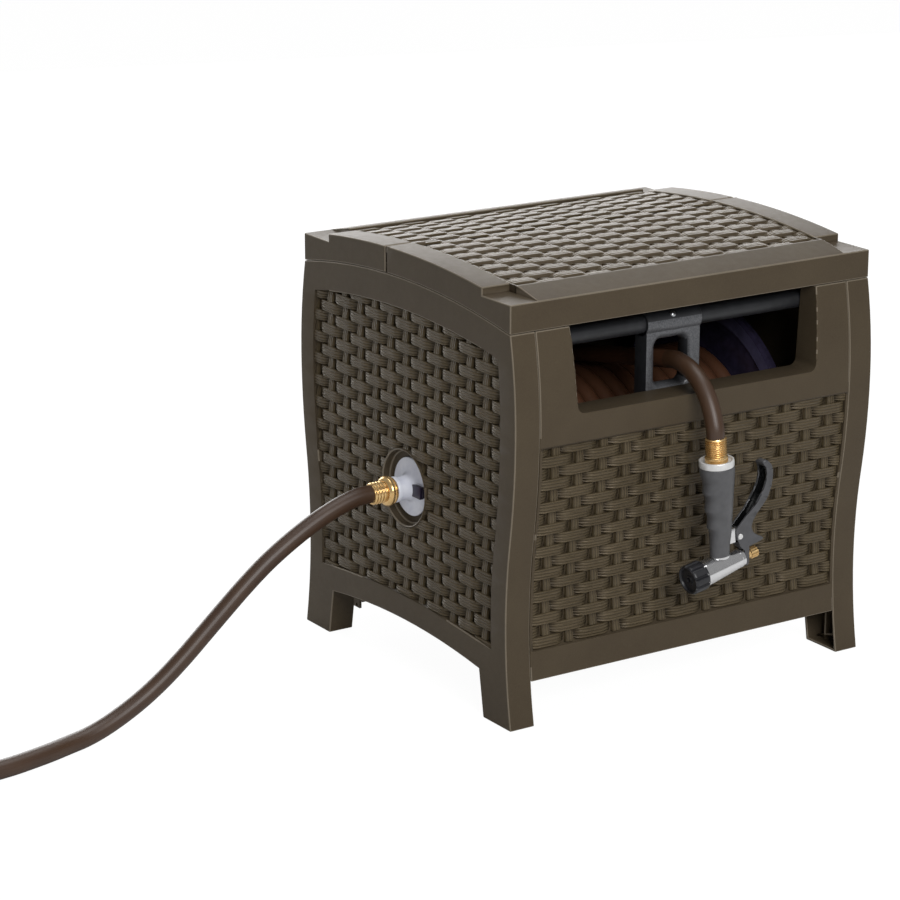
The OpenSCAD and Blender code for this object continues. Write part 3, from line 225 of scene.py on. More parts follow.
# Painted, plated or moulded surface of one tone, mottled at a size and dented at another, in millimetres
def plainSurface(name, low, high, rough, size=12.0, metallic=0.0, dentSize=1.2, dentDepth=0.0):
    material, tree, shader = newMaterial(name)
    color = addNode(tree, "ValToRGB", {"Fac": grain(tree, size, 3.0)}, [(0.3, low), (0.7, high)])
    gloss = addNode(tree, "MapRange", {"Value": grain(tree, size / 3), "To Min": max(rough - 0.04, 0),
                                       "To Max": rough + 0.05})
    fill(tree, shader, {"Base Color": color, "Roughness": gloss, "Metallic": metallic})
    if dentDepth:
        bump = addNode(tree, "Bump", {"Height": grain(tree, dentSize), "Strength": 0.6,
                                      "Distance": dentDepth / 1000})
        fill(tree, shader, {"Normal": bump})
    return material


# Black ABS: satin with a faint grain as moulded, and mirror-like where the lever's channel is polished
darkPlastic = plainSurface("black_abs_moulded", "#1b1b1e", "#232327", 0.38, dentDepth=0.02)
glossBlack = plainSurface("black_abs_polished", "#0b0b0c", "#121213", 0.14)
# Soft-touch rubber, painted zinc and powder coat: matt greys that catch a broad, soft light
gripRubber = plainSurface("grey_soft_touch_rubber", "#4a4a4c", "#545456", 0.42, dentDepth=0.02)
leverPaint = plainSurface("grey_painted_zinc", "#434345", "#4d4d50", 0.38, dentDepth=0.02)
# The dark coat is the rod's own colour, and also painted shade on the guide's saddle
rodPaintAndShade = plainSurface("dark_grey_powder_coat_and_painted_shade", "#1d1e20", "#26272a", 0.42, dentDepth=0.02)
# Smoky polystyrene of the reel's flanges: glossy violet, with a painted highlight as a paler band near the
# rim
smokyPlastic = plainSurface("smoky_violet_polystyrene", "#2a2636", "#38334a", 0.22)
smokyHighlight = plainSurface("smoky_violet_polystyrene_painted_highlight", "#4c4963", "#5a5775", 0.2)
# Hammered paint: 1.8 mm dents, 0.25 mm deep, that break the light into flecks
hammeredPaint = plainSurface("hammered_grey_paint", "#4a4b4e", "#6a6b6e", 0.34, 1.6, 0.35, 1.8, 0.25)
# Metals: yellow turned brass, bright chrome plate, pale satin nickel that hardly mirrors, and dull zinc
brass = plainSurface("turned_brass", "#dcb070", "#eccb92", 0.24, 6.0, 0.85)
chrome = plainSurface("satin_chrome_plate", "#e2e2e3", "#e8e8e9", 0.1, 8.0, 0.95)
whiteMetal = plainSurface("satin_white_nickel", "#d5d5d4", "#e2e2e1", 0.35, 8.0, 0.3)
zinc = plainSurface("zinc_plated_steel", "#a9abad", "#c6c8ca", 0.3, 4.0, 1.0)
# Moulded acetal, glossy in bluish white and in dark violet, and the seals' dead black rubber
whitePlastic = plainSurface("white_acetal_moulded", "#d0d3e0", "#dfe1ea", 0.24)
clipPlastic = plainSurface("dark_violet_acetal", "#211b2c", "#2b2438", 0.3)
sealRubber = plainSurface("black_seal_rubber", "#151515", "#1c1c1c", 0.7)


# Yarn under the vinyl: millimetres between yarns, and how far each leans round the hose
braidYarn = {"pitch": 2.4, "lean": 0.7, "depth": 0.2, "cloud": 40}


# Extruded vinyl over a knitted yarn: satin brown with the braid showing through as a fine cross pattern
def hoseVinyl(name, low, high):
    material, tree, shader = newMaterial(name)
    spread = addNode(tree, "UVMap").outputs["UV"]  # in millimetres along and round the hose
    parts = addNode(tree, "SeparateXYZ", {"Vector": spread})
    waves = []
    for lean in (braidYarn["lean"], -braidYarn["lean"]):  # two families of yarns
        slant = addNode(tree, "Math", {0: parts.outputs[1], 1: lean}, operation="MULTIPLY")
        along = addNode(tree, "Math", {0: parts.outputs[0], 1: slant}, operation="ADD")
        phase = addNode(tree, "Math", {0: along, 1: math.tau / braidYarn["pitch"]}, operation="MULTIPLY")
        waves.append(addNode(tree, "Math", {0: phase}, operation="SINE"))
    braid = addNode(tree, "Math", {0: waves[0], 1: waves[1]}, operation="MULTIPLY")
    level = addNode(tree, "MapRange", {"Value": braid, "From Min": -1.0})
    cloud = grain(tree, braidYarn["cloud"], 3.0)
    tone = addNode(tree, "Mix", {0: 0.35, 2: cloud, 3: level})
    color = addNode(tree, "ValToRGB", {"Fac": tone}, [(0.25, low), (0.75, high)])
    bump = addNode(tree, "Bump", {"Height": level, "Strength": 0.25,
                                  "Distance": braidYarn["depth"] / 1000})
    fill(tree, shader, {"Base Color": color, "Roughness": 0.42, "IOR": 1.53, "Normal": bump})
    return material


hoseBrown = hoseVinyl("brown_garden_hose_vinyl", "#362316", "#45301f")
# A second copy of the same vinyl in a lighter tone for the hose inside the box: painted light that brightens
# its dim interior
hoseShade = hoseVinyl("brown_garden_hose_toned_for_box_light", "#452b1c", "#573826")

# Meshes


def addMesh(mesh, material, body, smooth=True):
    mesh.polygons.foreach_set("use_smooth", [smooth] * len(mesh.polygons))
    mesh.materials.append(material)
    piece = bpy.data.objects.new(mesh.name, mesh)
    scene.collection.objects.link(piece)
    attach(piece, body)
    return piece


def addPiece(name, work, material, body, smooth=True):
    mesh = bpy.data.meshes.new(name)
    work.to_mesh(mesh)
    work.free()
    return addMesh(mesh, material, body, smooth)


# Adds a grid and gives its vertices, each with its column and row
def addGrid(work, columns, rows):
    for vert in bmesh.ops.create_grid(work, x_segments=columns, y_segments=rows, size=0.5)["verts"]:
        yield vert, round((vert.co.x + 0.5) * columns), round((vert.co.y + 0.5) * rows)


# A CAD node's mesh with its loose triangles merged, and flat stretches within an angle joined
def mergedCopy(node, angle):
    work = bmesh.new()
    work.from_mesh(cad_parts[node].data)
    bmesh.ops.remove_doubles(work, verts=work.verts, dist=1e-5)
    bmesh.ops.dissolve_limit(work, angle_limit=math.radians(angle), verts=work.verts, edges=work.edges)
    return work


def paint(nodes, material):
    for name in nodes:
        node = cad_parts[name]
        node.data.materials.clear()
        node.data.materials.append(material)


# Gives some faces, by number, a second material
def paintFaces(piece, faces, material):
    piece.data.materials.append(material)
    for number in faces:
        piece.data.polygons[number].material_index = 1


def evenNormals(piece, angle):
    piece.data.set_sharp_from_angle(angle=math.radians(angle))
    even = piece.modifiers.new("even_normals", "WEIGHTED_NORMAL")
    even.keep_sharp = True


# A smooth curve through points given in millimetres, in even steps
def smoothPath(points, step):
    knots = [Vector(p) for p in points]
    knots = [2 * knots[0] - knots[1]] + knots + [2 * knots[-1] - knots[-2]]
    dense = []
    for before, a, b, after in zip(knots, knots[1:], knots[2:], knots[3:]):
        count = max(2, int((b - a).length / step * 3))
        for i in range(count):
            t = i / count
            dense.append(0.5 * (2 * a + (b - before) * t + (2 * before - 5 * a + 4 * b - after) * t * t
                                + (3 * a - before - 3 * b + after) * t ** 3))
    dense.append(knots[-2])
    return dense


def pathLength(points):
    return sum((b - a).length for a, b in zip(points, points[1:]))


# A round tube along a path; its UV map is in millimetres, along and round it
def addTube(name, points, radius, material, body, sides=24):
    curve = bpy.data.curves.new(name, "CURVE")
    curve.dimensions = "3D"
    curve.bevel_depth = radius / 1000
    curve.bevel_resolution = sides // 4 - 2
    curve.use_fill_caps = True
    curve.twist_mode = "MINIMUM"
    spline = curve.splines.new("POLY")
    spline.points.add(len(points) - 1)
    for knot, p in zip(spline.points, points):
        knot.co = (*(p / 1000), 1)
    shape = bpy.data.objects.new(name + "_line", curve)
    scene.collection.objects.link(shape)
    bpy.context.view_layer.update()
    mesh = bpy.data.meshes.new_from_object(shape.evaluated_get(bpy.context.evaluated_depsgraph_get()))
    bpy.data.objects.remove(shape)
    mesh.name = name
    mesh.materials.clear()
    layer = mesh.uv_layers[0] if mesh.uv_layers else mesh.uv_layers.new(name="UVMap")
    layer.name = "UVMap"
    length, around = pathLength(points), math.tau * radius
    spans = [max(entry.uv[k] for entry in layer.data) or 1 for k in (0, 1)]
    longWay = 0 if spans[0] >= spans[1] else 1
    for entry in layer.data:
        u, v = entry.uv[longWay] / spans[longWay], entry.uv[1 - longWay] / spans[1 - longWay]
        entry.uv = (u * length, v * around)
    return addMesh(mesh, material, body)


# Hoses

# Route points of the CAD source, in millimetres
leader = {
    "exit": (-316.3, 0, 243), "runZ": 18.0, "bend": (-985.0, 58.0), "bendR": 100.0, "bendTurn": 165.0,
    "run": 150.0,
    "down": [(-322.3, 0, 243), (-334, 0, 242.2), (-348, 0, 239), (-366, 0, 233.2), (-384, 0, 226),
             (-402, 0, 217.5), (-420, 0, 208), (-443, 0, 194.5), (-467, 0, 178.5), (-495, 0, 156.5),
             (-523, 0, 132.5), (-551, 0, 108), (-578, 0, 84.5), (-606, 0, 62.5), (-633, 0, 44.5),
             (-660, -1, 30.5), (-687, -3, 19.8), (-713, -6, 13.2), (-740, -12, 11.25),
             (-767, -21, 11.25), (-795, -28.5, 11.25), (-822, -34.5, 11.25), (-850, -38, 11.25),
             (-878, -40.5, 11.25), (-906, -42, 11.25), (-940, -42, 11.25), (-973, -42, 11.25)],
}


def leaderPoints():
    points = [leader["exit"]] + leader["down"]
    (x, y), r, turn = leader["bend"], leader["bendR"], math.radians(leader["bendTurn"])
    for i in range(1, 13):
        a = -math.pi / 2 - turn * i / 12
        points.append((x + r * math.cos(a), y + r * math.sin(a), cabinet["hoseR"]))
    a = -math.pi / 2 - turn
    x, y = x + r * math.cos(a), y + r * math.sin(a)
    for i in range(1, 6):
        t = i / 5
        far = (leader["run"] - 2 * cabinet["hoseR"]) * t
        z = cabinet["hoseR"] + (leader["runZ"] - cabinet["hoseR"]) * easeStep(0, 1, t)
        points.append((x + far * math.sin(a), y - far * math.cos(a), z))
    far = leader["run"]
    points.append((x + far * math.sin(a), y - far * math.cos(a), leader["runZ"]))
    return points


leaderPath = smoothPath(leaderPoints(), 9)
leaderHose = addTube("leader_hose_tube", leaderPath, cabinet["hoseR"], hoseBrown, "cabinet", 32)
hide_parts("leader_hose", "leader_coil")

# The wound layer, in millimetres: radius of its centreline, pitch of its turns and steps in each turn
winding = {"radius": 111.0, "pitch": 23.1, "turns": 16, "steps": 36}
# Hose through the guide: its lean, the eye, clearances, and how far each of its hanging points drifts
tail = {"lean": 4.6, "ferruleZ": 336.0, "eyeZ": 412.0, "reveal": 40.0, "eyeGap": 12.0, "play": 0.3,
        "wrapSteps": 14, "drift": [0, 0, 0, 0, 0, -0.4, -0.9],
        "down": [(-210, 413.5), (-226, 410.5), (-242, 403.5), (-257, 392.5), (-269, 378.5), (-278, 363),
                 (-283.5, 350)]}


# The last half turn on the reel, its run through the guide's eye, and the free end down to the nozzle
def guideHosePoints():
    guideX, steps, play = cabinet["guideX"], tail["wrapSteps"], tail["play"]
    wrapR = (winding["radius"] + 2 * cabinet["hoseR"] + play) / math.cos(math.radians(90 / steps))
    eyeY, eyeZ = -edgeY(cabinet["windowZ"]) + tail["reveal"] + tail["eyeGap"], tail["eyeZ"]
    run = Vector((eyeY, eyeZ - cabinet["reelZ"]))
    off = math.degrees(math.atan2(run[1], run[0])) - math.degrees(math.acos(wrapR / run.length))
    wrap = [(guideX, wrapR * math.cos(a), cabinet["reelZ"] + wrapR * math.sin(a))
            for a in (math.radians(-90 + (off + 90) * i / (2 * steps)) for i in range(2 * steps + 1))]
    start = Vector(wrap[-1])
    eye = Vector((guideX, eyeY, eyeZ))
    wrap += [start.lerp(eye, i / 6) for i in range(1, 7)]
    heading = Vector((0, -math.sin(math.radians(off)), math.cos(math.radians(off))))
    lean = math.radians(tail["lean"])
    hang = Vector((math.sin(lean), 0, -math.cos(lean)))
    end = Vector((guideX, cabinet["nozzleY"], tail["ferruleZ"])) - play * hang
    free = [eye, eye + 9 * heading] + [(guideX + dx, y, z) for dx, (y, z) in zip(tail["drift"], tail["down"])]
    return wrap, free + [end - 7 * hang, end]


wrapPoints, tailPoints = guideHosePoints()
# The hose inside the box takes the lighter copy: painted light
wrapHose = addTube("wrap_hose_tube", smoothPath(wrapPoints, 8), cabinet["hoseR"], hoseShade, "guide", 32)
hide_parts("wrap_hose")
tailPath = smoothPath(tailPoints, 5)
tailHose = addTube("tail_hose_tube", tailPath, cabinet["hoseR"], hoseBrown, "guide", 32)
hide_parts("tail_hose")
print("hoses laid:", round(pathLength(leaderPath)), "mm and", round(pathLength(tailPath)), "mm")

# Wicker

# Wicker sizes in millimetres; depths count inwards from the panel's face
wicker = {"crown": 1.2, "dip": 8.4, "deepest": 10.4, "strapHalf": 7.1, "stakeHalf": 5.5,
          "stakeHigh": 2.7, "stakeLow": 4.9, "field": 31.0, "collarR": 49.8,
          "unevenDepth": 0.25, "unevenRow": 0.35}
# Side field's low and top edges at their ends, and how much each arches in the middle
sideField = {"low": 91.5, "lowArch": 11.5, "top": 452.0, "topArch": 17.0}
strapSection = [(-1.0, 2.8), (-0.93, 0.6), (-0.5, 0.1), (0.0, 0.0), (0.5, 0.1), (0.93, 0.6), (1.0, 2.8)]
stakeSection = [(-1.0, 4.2), (-0.94, 0.25), (0.0, 0.0), (0.94, 0.25), (1.0, 4.2)]
stakeSteps = [(0.5, 1.0), (0.2, 0.55), (-0.15, 0.2), (-0.46, 0.0)]


# A woven field of straps over stakes: fit moves a flat point into the field's outline, and place takes
# a point and its depth into the frame
def addWicker(name, body, layout, fit, place):
    w = wicker
    pitch, rowPitch = layout["stakePitch"], layout["rowPitch"]
    work = bmesh.new()
    spread = work.loops.layers.uv.new("UVMap")
    recess = work.verts.layers.float.new("recess")
    flat = {}

    def addStrip(stations, section, shape):
        for vert, i, j in addGrid(work, len(stations) - 1, len(section) - 1):
            flat[vert] = shape(stations[i], *section[j])

    for row in range(layout["rows"]):
        centre = layout["firstRow"] + row * rowPitch
        parity = (layout["firstParity"] + row) % 2
        stakeReach = int(layout["reach"] / pitch) + 1
        stations = [pitch * i / 5 for i in range(-5 * stakeReach, 5 * stakeReach + 1)]

        def strapShape(s, v, drop):
            turn = s / pitch - parity + 1
            u = abs(turn % 2 - 1)
            own = noise.cell_vector((math.floor(turn / 2) + 0.5, row + 0.5, parity + 0.5))
            half = w["strapHalf"] * (1 - layout["narrow"] * easeStep(0.45, 1, u))
            fall = easeStep(*layout["fall"], u)
            depth = w["crown"] + (w["dip"] - w["crown"]) * fall + drop
            depth += w["unevenDepth"] * own[0] * (1 - fall)
            t = centre + v * half + w["unevenRow"] * own[1]
            # fall also sets how much painted shade the strap takes as it dips
            return s, t, min(depth, w["deepest"]), fall, s, v * w["strapHalf"]

        addStrip(stations, strapSection, strapShape)
    for stake in range(-stakeReach, stakeReach + 1):
        shown = (stake + 1 - layout["firstParity"]) % 2
        stations = [(layout["firstRow"] + rowPitch * (row + up), lean)
                    for row in range(layout["rows"] - 1, -1, -1) if row % 2 == shown
                    for up, lean in stakeSteps]

        def stakeShape(station, v, drop):
            t, lean = station
            depth = w["stakeHigh"] + (w["stakeLow"] - w["stakeHigh"]) * lean + drop
            # A stake takes painted shade towards its top, under the strap above it
            return stake * pitch + v * w["stakeHalf"], t, depth, 0.5 * lean, t, v * w["stakeHalf"]

        addStrip(stations, stakeSection, stakeShape)
    outside = set()
    for vert, (s, t, depth, shaded, along, across) in flat.items():
        near = fit(s, t)
        if math.hypot(near[0] - s, near[1] - t) > 0.01:
            outside.add(vert)
        vert.co = place(near[0], near[1], depth)
        # The attribute carries the painted shade to the wicker material
        vert[recess] = shaded
    for face in work.faces:
        for loop in face.loops:
            loop[spread].uv = flat[loop.vert][4:6]
    lost = [face for face in work.faces
            if all(vert in outside for vert in face.verts) or face.calc_area() < 1e-8]
    bmesh.ops.delete(work, geom=lost, context="FACES")
    work.normal_update()
    outward = place(0, layout["firstRow"], 0) - place(0, layout["firstRow"], 5)
    if sum(face.normal.dot(outward) * face.calc_area() for face in work.faces) < 0:
        bmesh.ops.reverse_faces(work, faces=work.faces)
    piece = addPiece(name, work, weaveResin, body)
    piece.data.set_sharp_from_angle(angle=math.radians(48))


def fitSide(s, t):
    f = sideField
    half = edgeY(clamp(t, f["low"], f["top"])) - wicker["field"]
    s = clamp(s, -half, half)
    lowHalf, topHalf = edgeY(f["low"]) - wicker["field"], edgeY(f["top"]) - wicker["field"]
    low = f["low"] + f["lowArch"] * max(0.0, 1 - (s / lowHalf) ** 2)
    top = f["top"] + f["topArch"] * max(0.0, 1 - (s / topHalf) ** 2)
    t = clamp(t, low, top)
    away = Vector((s, t - cabinet["reelZ"]))
    if away.length < wicker["collarR"]:
        away = (away.normalized() if away.length > 0.1 else Vector((1, 0))) * wicker["collarR"]
        return away[0], away[1] + cabinet["reelZ"]
    return s, t


# A field that is a plain rectangle, given as its half width and its two other edges
def fitBox(half, low, high):
    return lambda s, t: (clamp(s, -half, half), clamp(t, low, high))


# Layouts in millimetres; fall says where along a crown it starts and ends its dip, from 0 to 1
frontWeave = {"stakePitch": 34.7, "rowPitch": 14.3, "firstRow": 98.9, "firstParity": 0, "rows": 18,
              "reach": 232.0, "fall": (0.45, 0.86), "narrow": 0.2}
sideWeave = frontWeave | {"stakePitch": 35.1, "rowPitch": 14.35, "firstRow": 90.85, "firstParity": 1,
                          "rows": 27, "reach": 214.0}
lidWeave = frontWeave | {"firstRow": -177.3, "firstParity": 1, "rows": 16, "fall": (0.5, 0.8),
                         "narrow": 0.16}


def addAllWicker():
    addWicker("front_wicker", "cabinet", frontWeave, fitBox(230, 91, 345.5),
              lambda s, t, d: metres(s, -edgeY(t) + d, t))
    addWicker("rear_wicker", "cabinet", frontWeave | {"rows": 25}, fitBox(230, 91, 439.5),
              lambda s, t, d: metres(s, edgeY(t) - d, t))
    for name, way in (("left", -1), ("right", 1)):
        addWicker("side_wicker_" + name, "cabinet", sideWeave, fitSide,
                  lambda s, t, d, way=way: metres(way * (cabinet["faceX"] - d), s, t))
    addWicker("lid_wicker_front", "lid", lidWeave, fitBox(229.8, -184, 36.6),
              lambda s, t, d: metres(s, t, rimLine(t) - d))
    addWicker("lid_wicker_rear", "cabinet", lidWeave | {"firstRow": 37.2, "firstParity": 0, "rows": 11},
              fitBox(229.8, 37.4, 184), lambda s, t, d: metres(s, t, rimLine(t) - d))


addAllWicker()
print("wicker woven")

# Panels


# Where the wicker covers the panel, in millimetres: sunk between two depths and inside a field
covered = {"lidTop": 0.3, "sideTop": 0.2, "bottom": 12, "halfX": 231, "halfY": 185, "margin": 1.5}


def inField(point):
    x, y, z = point * 1000
    below, inwards = rimLine(y) - z, cabinet["faceX"] - abs(x)
    if covered["lidTop"] < below < covered["bottom"] and abs(x) < covered["halfX"]:
        if abs(y) < covered["halfY"]:
            return True
    near = fitSide(y, z)
    away = math.hypot(near[0] - y, near[1] - z)
    return covered["sideTop"] < inwards < covered["bottom"] and away < covered["margin"]


# Whether an edge stands clear of small features, so that it can be rounded
def canEase(edge, angle, width):
    if len(edge.link_faces) != 2 or not edge.is_convex or edge.calc_face_angle(0) < math.radians(angle):
        return False
    if any(near.calc_length() < 2.1 * width for vert in edge.verts for near in vert.link_edges):
        return False
    for face in edge.link_faces:
        around = sum(side.calc_length() for side in face.edges)
        if 2 * face.calc_area() / around < 1.3 * width:
            return False
    return not inField((edge.verts[0].co + edge.verts[1].co) / 2)


def roundEdges(work, edges, width, clamped=False):
    return bmesh.ops.bevel(work, geom=edges, offset=width / 1000, offset_type="OFFSET", segments=2,
                           profile=0.5, affect="EDGES", clamp_overlap=clamped, material=-1)["faces"]


# Panel edges: how far they are rounded, in millimetres, and the least angle that counts as an edge
panelEdge = {"width": 1.4, "angle": 32}


# A copy of a CAD panel whose sharp edges are eased, as the mould's radii are
def easePanel(node, body):
    width = panelEdge["width"]
    work = mergedCopy(node, 0.12)
    sharp = [edge for edge in work.edges if canEase(edge, panelEdge["angle"], width / 1000)]
    # The rounded edge faces take the pale resin: a painted highlight along every eased edge
    for face in roundEdges(work, sharp, width):
        face.material_index = 1
    bmesh.ops.triangulate(work, faces=[face for face in work.faces if len(face.verts) > 4])
    piece = addPiece(node + "_moulded", work, resin, body)
    piece.data.materials.append(edgeHighlightResin)
    evenNormals(piece, 35)
    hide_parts(node)


for node in ("side_panel_left", "side_panel_right", "front_panel", "rear_panel", "lid_rear"):
    easePanel(node, "cabinet")
easePanel("lid_front", "lid")


# Adds boxes, each between two corners in millimetres
def addBlocks(work, blocks):
    made = []
    for low, high in blocks:
        middle, size = (Vector(low) + Vector(high)) / 2000, (Vector(high) - Vector(low)) / 1000
        turn = Matrix.Translation(middle) @ Matrix.Diagonal((*size, 1))
        made += bmesh.ops.create_cube(work, size=1, matrix=turn)["verts"]
    return made


def addBlockPiece(name, blocks, body):
    work = bmesh.new()
    addBlocks(work, blocks)
    addPiece(name, work, resin, body, smooth=False)


# Blocks in millimetres: a floor and a step behind it under the seam of the lid's halves, and a wall in each
# front corner of the lid's woven field
seamGutter = [((-213, 31, 526), (213, 39.6, 528.2)), ((-213, 39.6, 526), (213, 42, 530.5))]
lidCorners = [((x, -186, 519), (x + 2.2, -171, 530.4)) for x in (-230, 227.8)]
addBlockPiece("lid_seam_gutter", seamGutter, "cabinet")
addBlockPiece("lid_corner_floors", lidCorners, "lid")
print("panels eased")

# CAD nodes that keep their shape

paint(["floor_panel", "rod_sockets"], resin)
paint(["lid_hinge_pins"], resin)
paint(["tap_ferrule", "tap_nut"], brass)
paint(["inlet_washer", "tap_washer"], sealRubber)
paint(["guide_rod"], rodPaintAndShade)
paint(["panel_screws", "crank_screw", "handle_spindle"], zinc)
paint(["reel_flange_left", "reel_flange_right"], smokyPlastic)
highlightBand = (153, 172)  # radii of the flanges' painted highlight band, in millimetres
for side in ("left", "right"):
    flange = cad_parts["reel_flange_" + side].data
    # Faces between these radii take the paler colour: a painted highlight on the flange's rim
    flange.materials.append(smokyHighlight)
    for face in flange.polygons:
        away = math.hypot(face.center.y * 1000, face.center.z * 1000 - cabinet["reelZ"])
        face.material_index = 1 if highlightBand[0] < away < highlightBand[1] else 0
paint(["reel_drum", "crank_shaft", "crank_arm", "crank_handle", "bearing_bush_left",
       "bearing_bush_right"], darkPlastic)


# The winding: one wound layer, drawn round, over the layers below it
def addWinding():
    r, pitch, turns, steps = (winding[key] for key in ("radius", "pitch", "turns", "steps"))
    x, reelZ, hoseR = -turns * pitch / 2, cabinet["reelZ"], cabinet["hoseR"]
    points = [Vector((x, -2 * hoseR, reelZ - r)), Vector((x, -hoseR, reelZ - r))]
    for i in range(turns * steps + 1):
        a = -math.pi / 2 + math.tau * i / steps
        points.append(Vector((x + pitch * i / steps, r * math.cos(a), reelZ + r * math.sin(a))))
    points += [points[-1] + Vector((0, d, 0)) for d in (hoseR, 2 * hoseR)]
    # The wound hose takes the lighter copy: painted light
    wound = addTube("wound_hose_tube", points, hoseR, hoseShade, "reel", 20)
    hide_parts("wound_hose")


addWinding()
# The wound core takes the lighter copy too: painted light
paint(["wound_core"], hoseShade)
print("reel wound")

# Turned and lofted pieces


# A profile of (radius, station) pairs in millimetres, spun about the local Z axis of a place
def addTurned(work, place, profile, steps=64):
    known = set(work.verts)
    verts = [work.verts.new((r, 0, station)) for r, station in profile]
    edges = [work.edges.new(pair) for pair in zip(verts, verts[1:])]
    bmesh.ops.spin(work, geom=verts + edges, axis=(0, 0, 1), cent=(0, 0, 0), dvec=(0, 0, 0),
                   angle=math.tau, steps=steps, use_merge=True)
    made = [vert for vert in work.verts if vert not in known]
    bmesh.ops.transform(work, matrix=Matrix.Scale(0.001, 4) @ place, verts=made)
    return made


# A skin over closed rings of points with equal counts, in millimetres
def addLoft(work, place, rings):
    sides = len(rings[0])
    for vert, i, j in addGrid(work, len(rings) - 1, sides):
        vert.co = (place @ Vector(rings[i][j % sides])) / 1000


# Closes a piece's seams and ends, turns its faces outwards and hands it over
def finishPiece(name, work, material, body, node, angle=35):
    bmesh.ops.remove_doubles(work, verts=work.verts, dist=1e-6)
    openEdges = [edge for edge in work.edges if edge.is_boundary]
    bmesh.ops.holes_fill(work, edges=openEdges, sides=0)
    bmesh.ops.recalc_face_normals(work, faces=work.faces)
    piece = addPiece(name, work, material, body)
    piece.data.set_sharp_from_angle(angle=math.radians(angle))
    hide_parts(node)


# A piece that is one turned profile
def addTurnedPiece(name, place, profile, material, body, node, angle=35, steps=64):
    work = bmesh.new()
    addTurned(work, place, profile, steps)
    finishPiece(name, work, material, body, node, angle)


# Moves what was made in millimetres about the origin to its place
def moveTo(work, place, verts):
    bmesh.ops.transform(work, matrix=Matrix.Scale(0.001, 4) @ place @ Matrix.Scale(1000, 4), verts=verts)


# Frames in millimetres: the handle leans on its ferrule, and the barrel tilts down from the handle
handleFrame = (Matrix.Translation((cabinet["guideX"], cabinet["nozzleY"], tail["ferruleZ"]))
               @ Matrix.Rotation(-math.radians(tail["lean"]), 4, "Y")
               @ Matrix.Translation((0, 0, -tail["ferruleZ"])))
barrel = {
    "place": (31.0, 0.0, 174.6), "tilt": 6.0,
    "profile": [(0, -1), (10.4, -1), (11.3, -0.3), (11.9, 4), (11.5, 4.4), (11.5, 5.2), (12, 5.6),
                (13, 16), (14.4, 32), (15.7, 48), (16.4, 58), (16.5, 61.2), (16.1, 62), (0, 62)],
    "lugs": [((2, -4.2, 199), (27, 4.2, 216)), ((8, -6.6, 198.6), (19.4, 6.6, 217.4))], "lugEdge": 1.0,
}
barrelFrame = (handleFrame @ Matrix.Translation(barrel["place"])
               @ Matrix.Rotation(-math.radians(90 + barrel["tilt"]), 4, "Y"))


# Water inlet on the left side: stations count outwards from the middle of the cabinet
inletFrame = (Matrix.Translation((0, 0, cabinet["reelZ"])) @ Matrix.Rotation(-math.pi / 2, 4, "Y"))


# Profiles as (radius, station) pairs and the clip's two blocks, in millimetres
inlet = {
    "tube": [(0, 255.3), (36.6, 255.3), (37, 255.8), (37, 257.7), (36.4, 258.3), (21, 258.5),
             (18.2, 259.6), (16.4, 262), (15.4, 266), (14.9, 272), (14.9, 277.6), (15.8, 278.2),
             (16.2, 279), (16.2, 283), (15.6, 284), (13.5, 284.3), (0, 284.3)],
    "nut": [(0, 284.8), (14.6, 284.8), (16.4, 285.2), (17, 286), (17, 287.4), (16.2, 288), (15.9, 288.6),
            (16.4, 289.2), (17.9, 289.8), (18.7, 291), (19, 292.6), (18.6, 294.4), (17.4, 296),
            (15.9, 297.4), (14.6, 298), (0, 298)],
    "clip": [((-264.6, -32, 234.8), (-258.4, -12, 250.4)), ((-261.6, -34, 237), (-258.4, -31, 248))],
    "clipEdge": 1.0,
}


# Rounded ribs of a crimped ferrule, as a stretch of its profile
def ribProfile(radius, pitch, crest, start, step, points, deep=0.8):
    stations = [start + step * i for i in range(points)]
    return [(radius + deep * math.cos(math.tau * (x - crest) / pitch), x) for x in stations]


def addInlet():
    addTurnedPiece("inlet_tube_moulded", inletFrame, inlet["tube"], whitePlastic, "cabinet",
                   "inlet_tube", 40, 96)
    work = bmesh.new()
    addBlocks(work, inlet["clip"])
    roundEdges(work, work.edges[:], inlet["clipEdge"])
    finishPiece("inlet_clip_moulded", work, clipPlastic, "cabinet", "inlet_lock_clip")
    addTurnedPiece("inlet_nut_turned", inletFrame, inlet["nut"], brass, "inlet_nut",
                   "inlet_nut", 50, 96)
    ribs = ribProfile(13.1, 4.2, 301, 299, 0.42, 41)
    profile = [(0, 298.3), (12.6, 298.3)] + ribs + [(12.4, 316.3), (0, 316.3)]
    addTurnedPiece("leader_ferrule_turned", inletFrame, profile, brass, "cabinet",
                   "leader_ferrule", 60, 96)


def addTailFerrule():
    profile = [(0, 336), (11.7, 336)] + ribProfile(12.3, 2.7, 315.5, 335.2, -0.3, 71) + [
        (12.2, 313.2), (13.6, 312.5), (14.2, 311.7), (14.2, 306.6), (13.6, 305.8), (0, 305.8)]
    addTurnedPiece("tail_ferrule_turned", handleFrame, profile, brass, "guide", "tail_ferrule")


def addCollar():
    profile = [(0, 305.5), (17.6, 305.5), (18.4, 306), (18.7, 307.8), (19.3, 308.5), (20.5, 308.5),
               (21.2, 308), (21.4, 307.2), (21.4, 301.2), (21.1, 300.4), (0, 300.4)]
    addTurnedPiece("nozzle_collar_turned", handleFrame, profile, whiteMetal, "guide",
                   "nozzle_collar", 50)


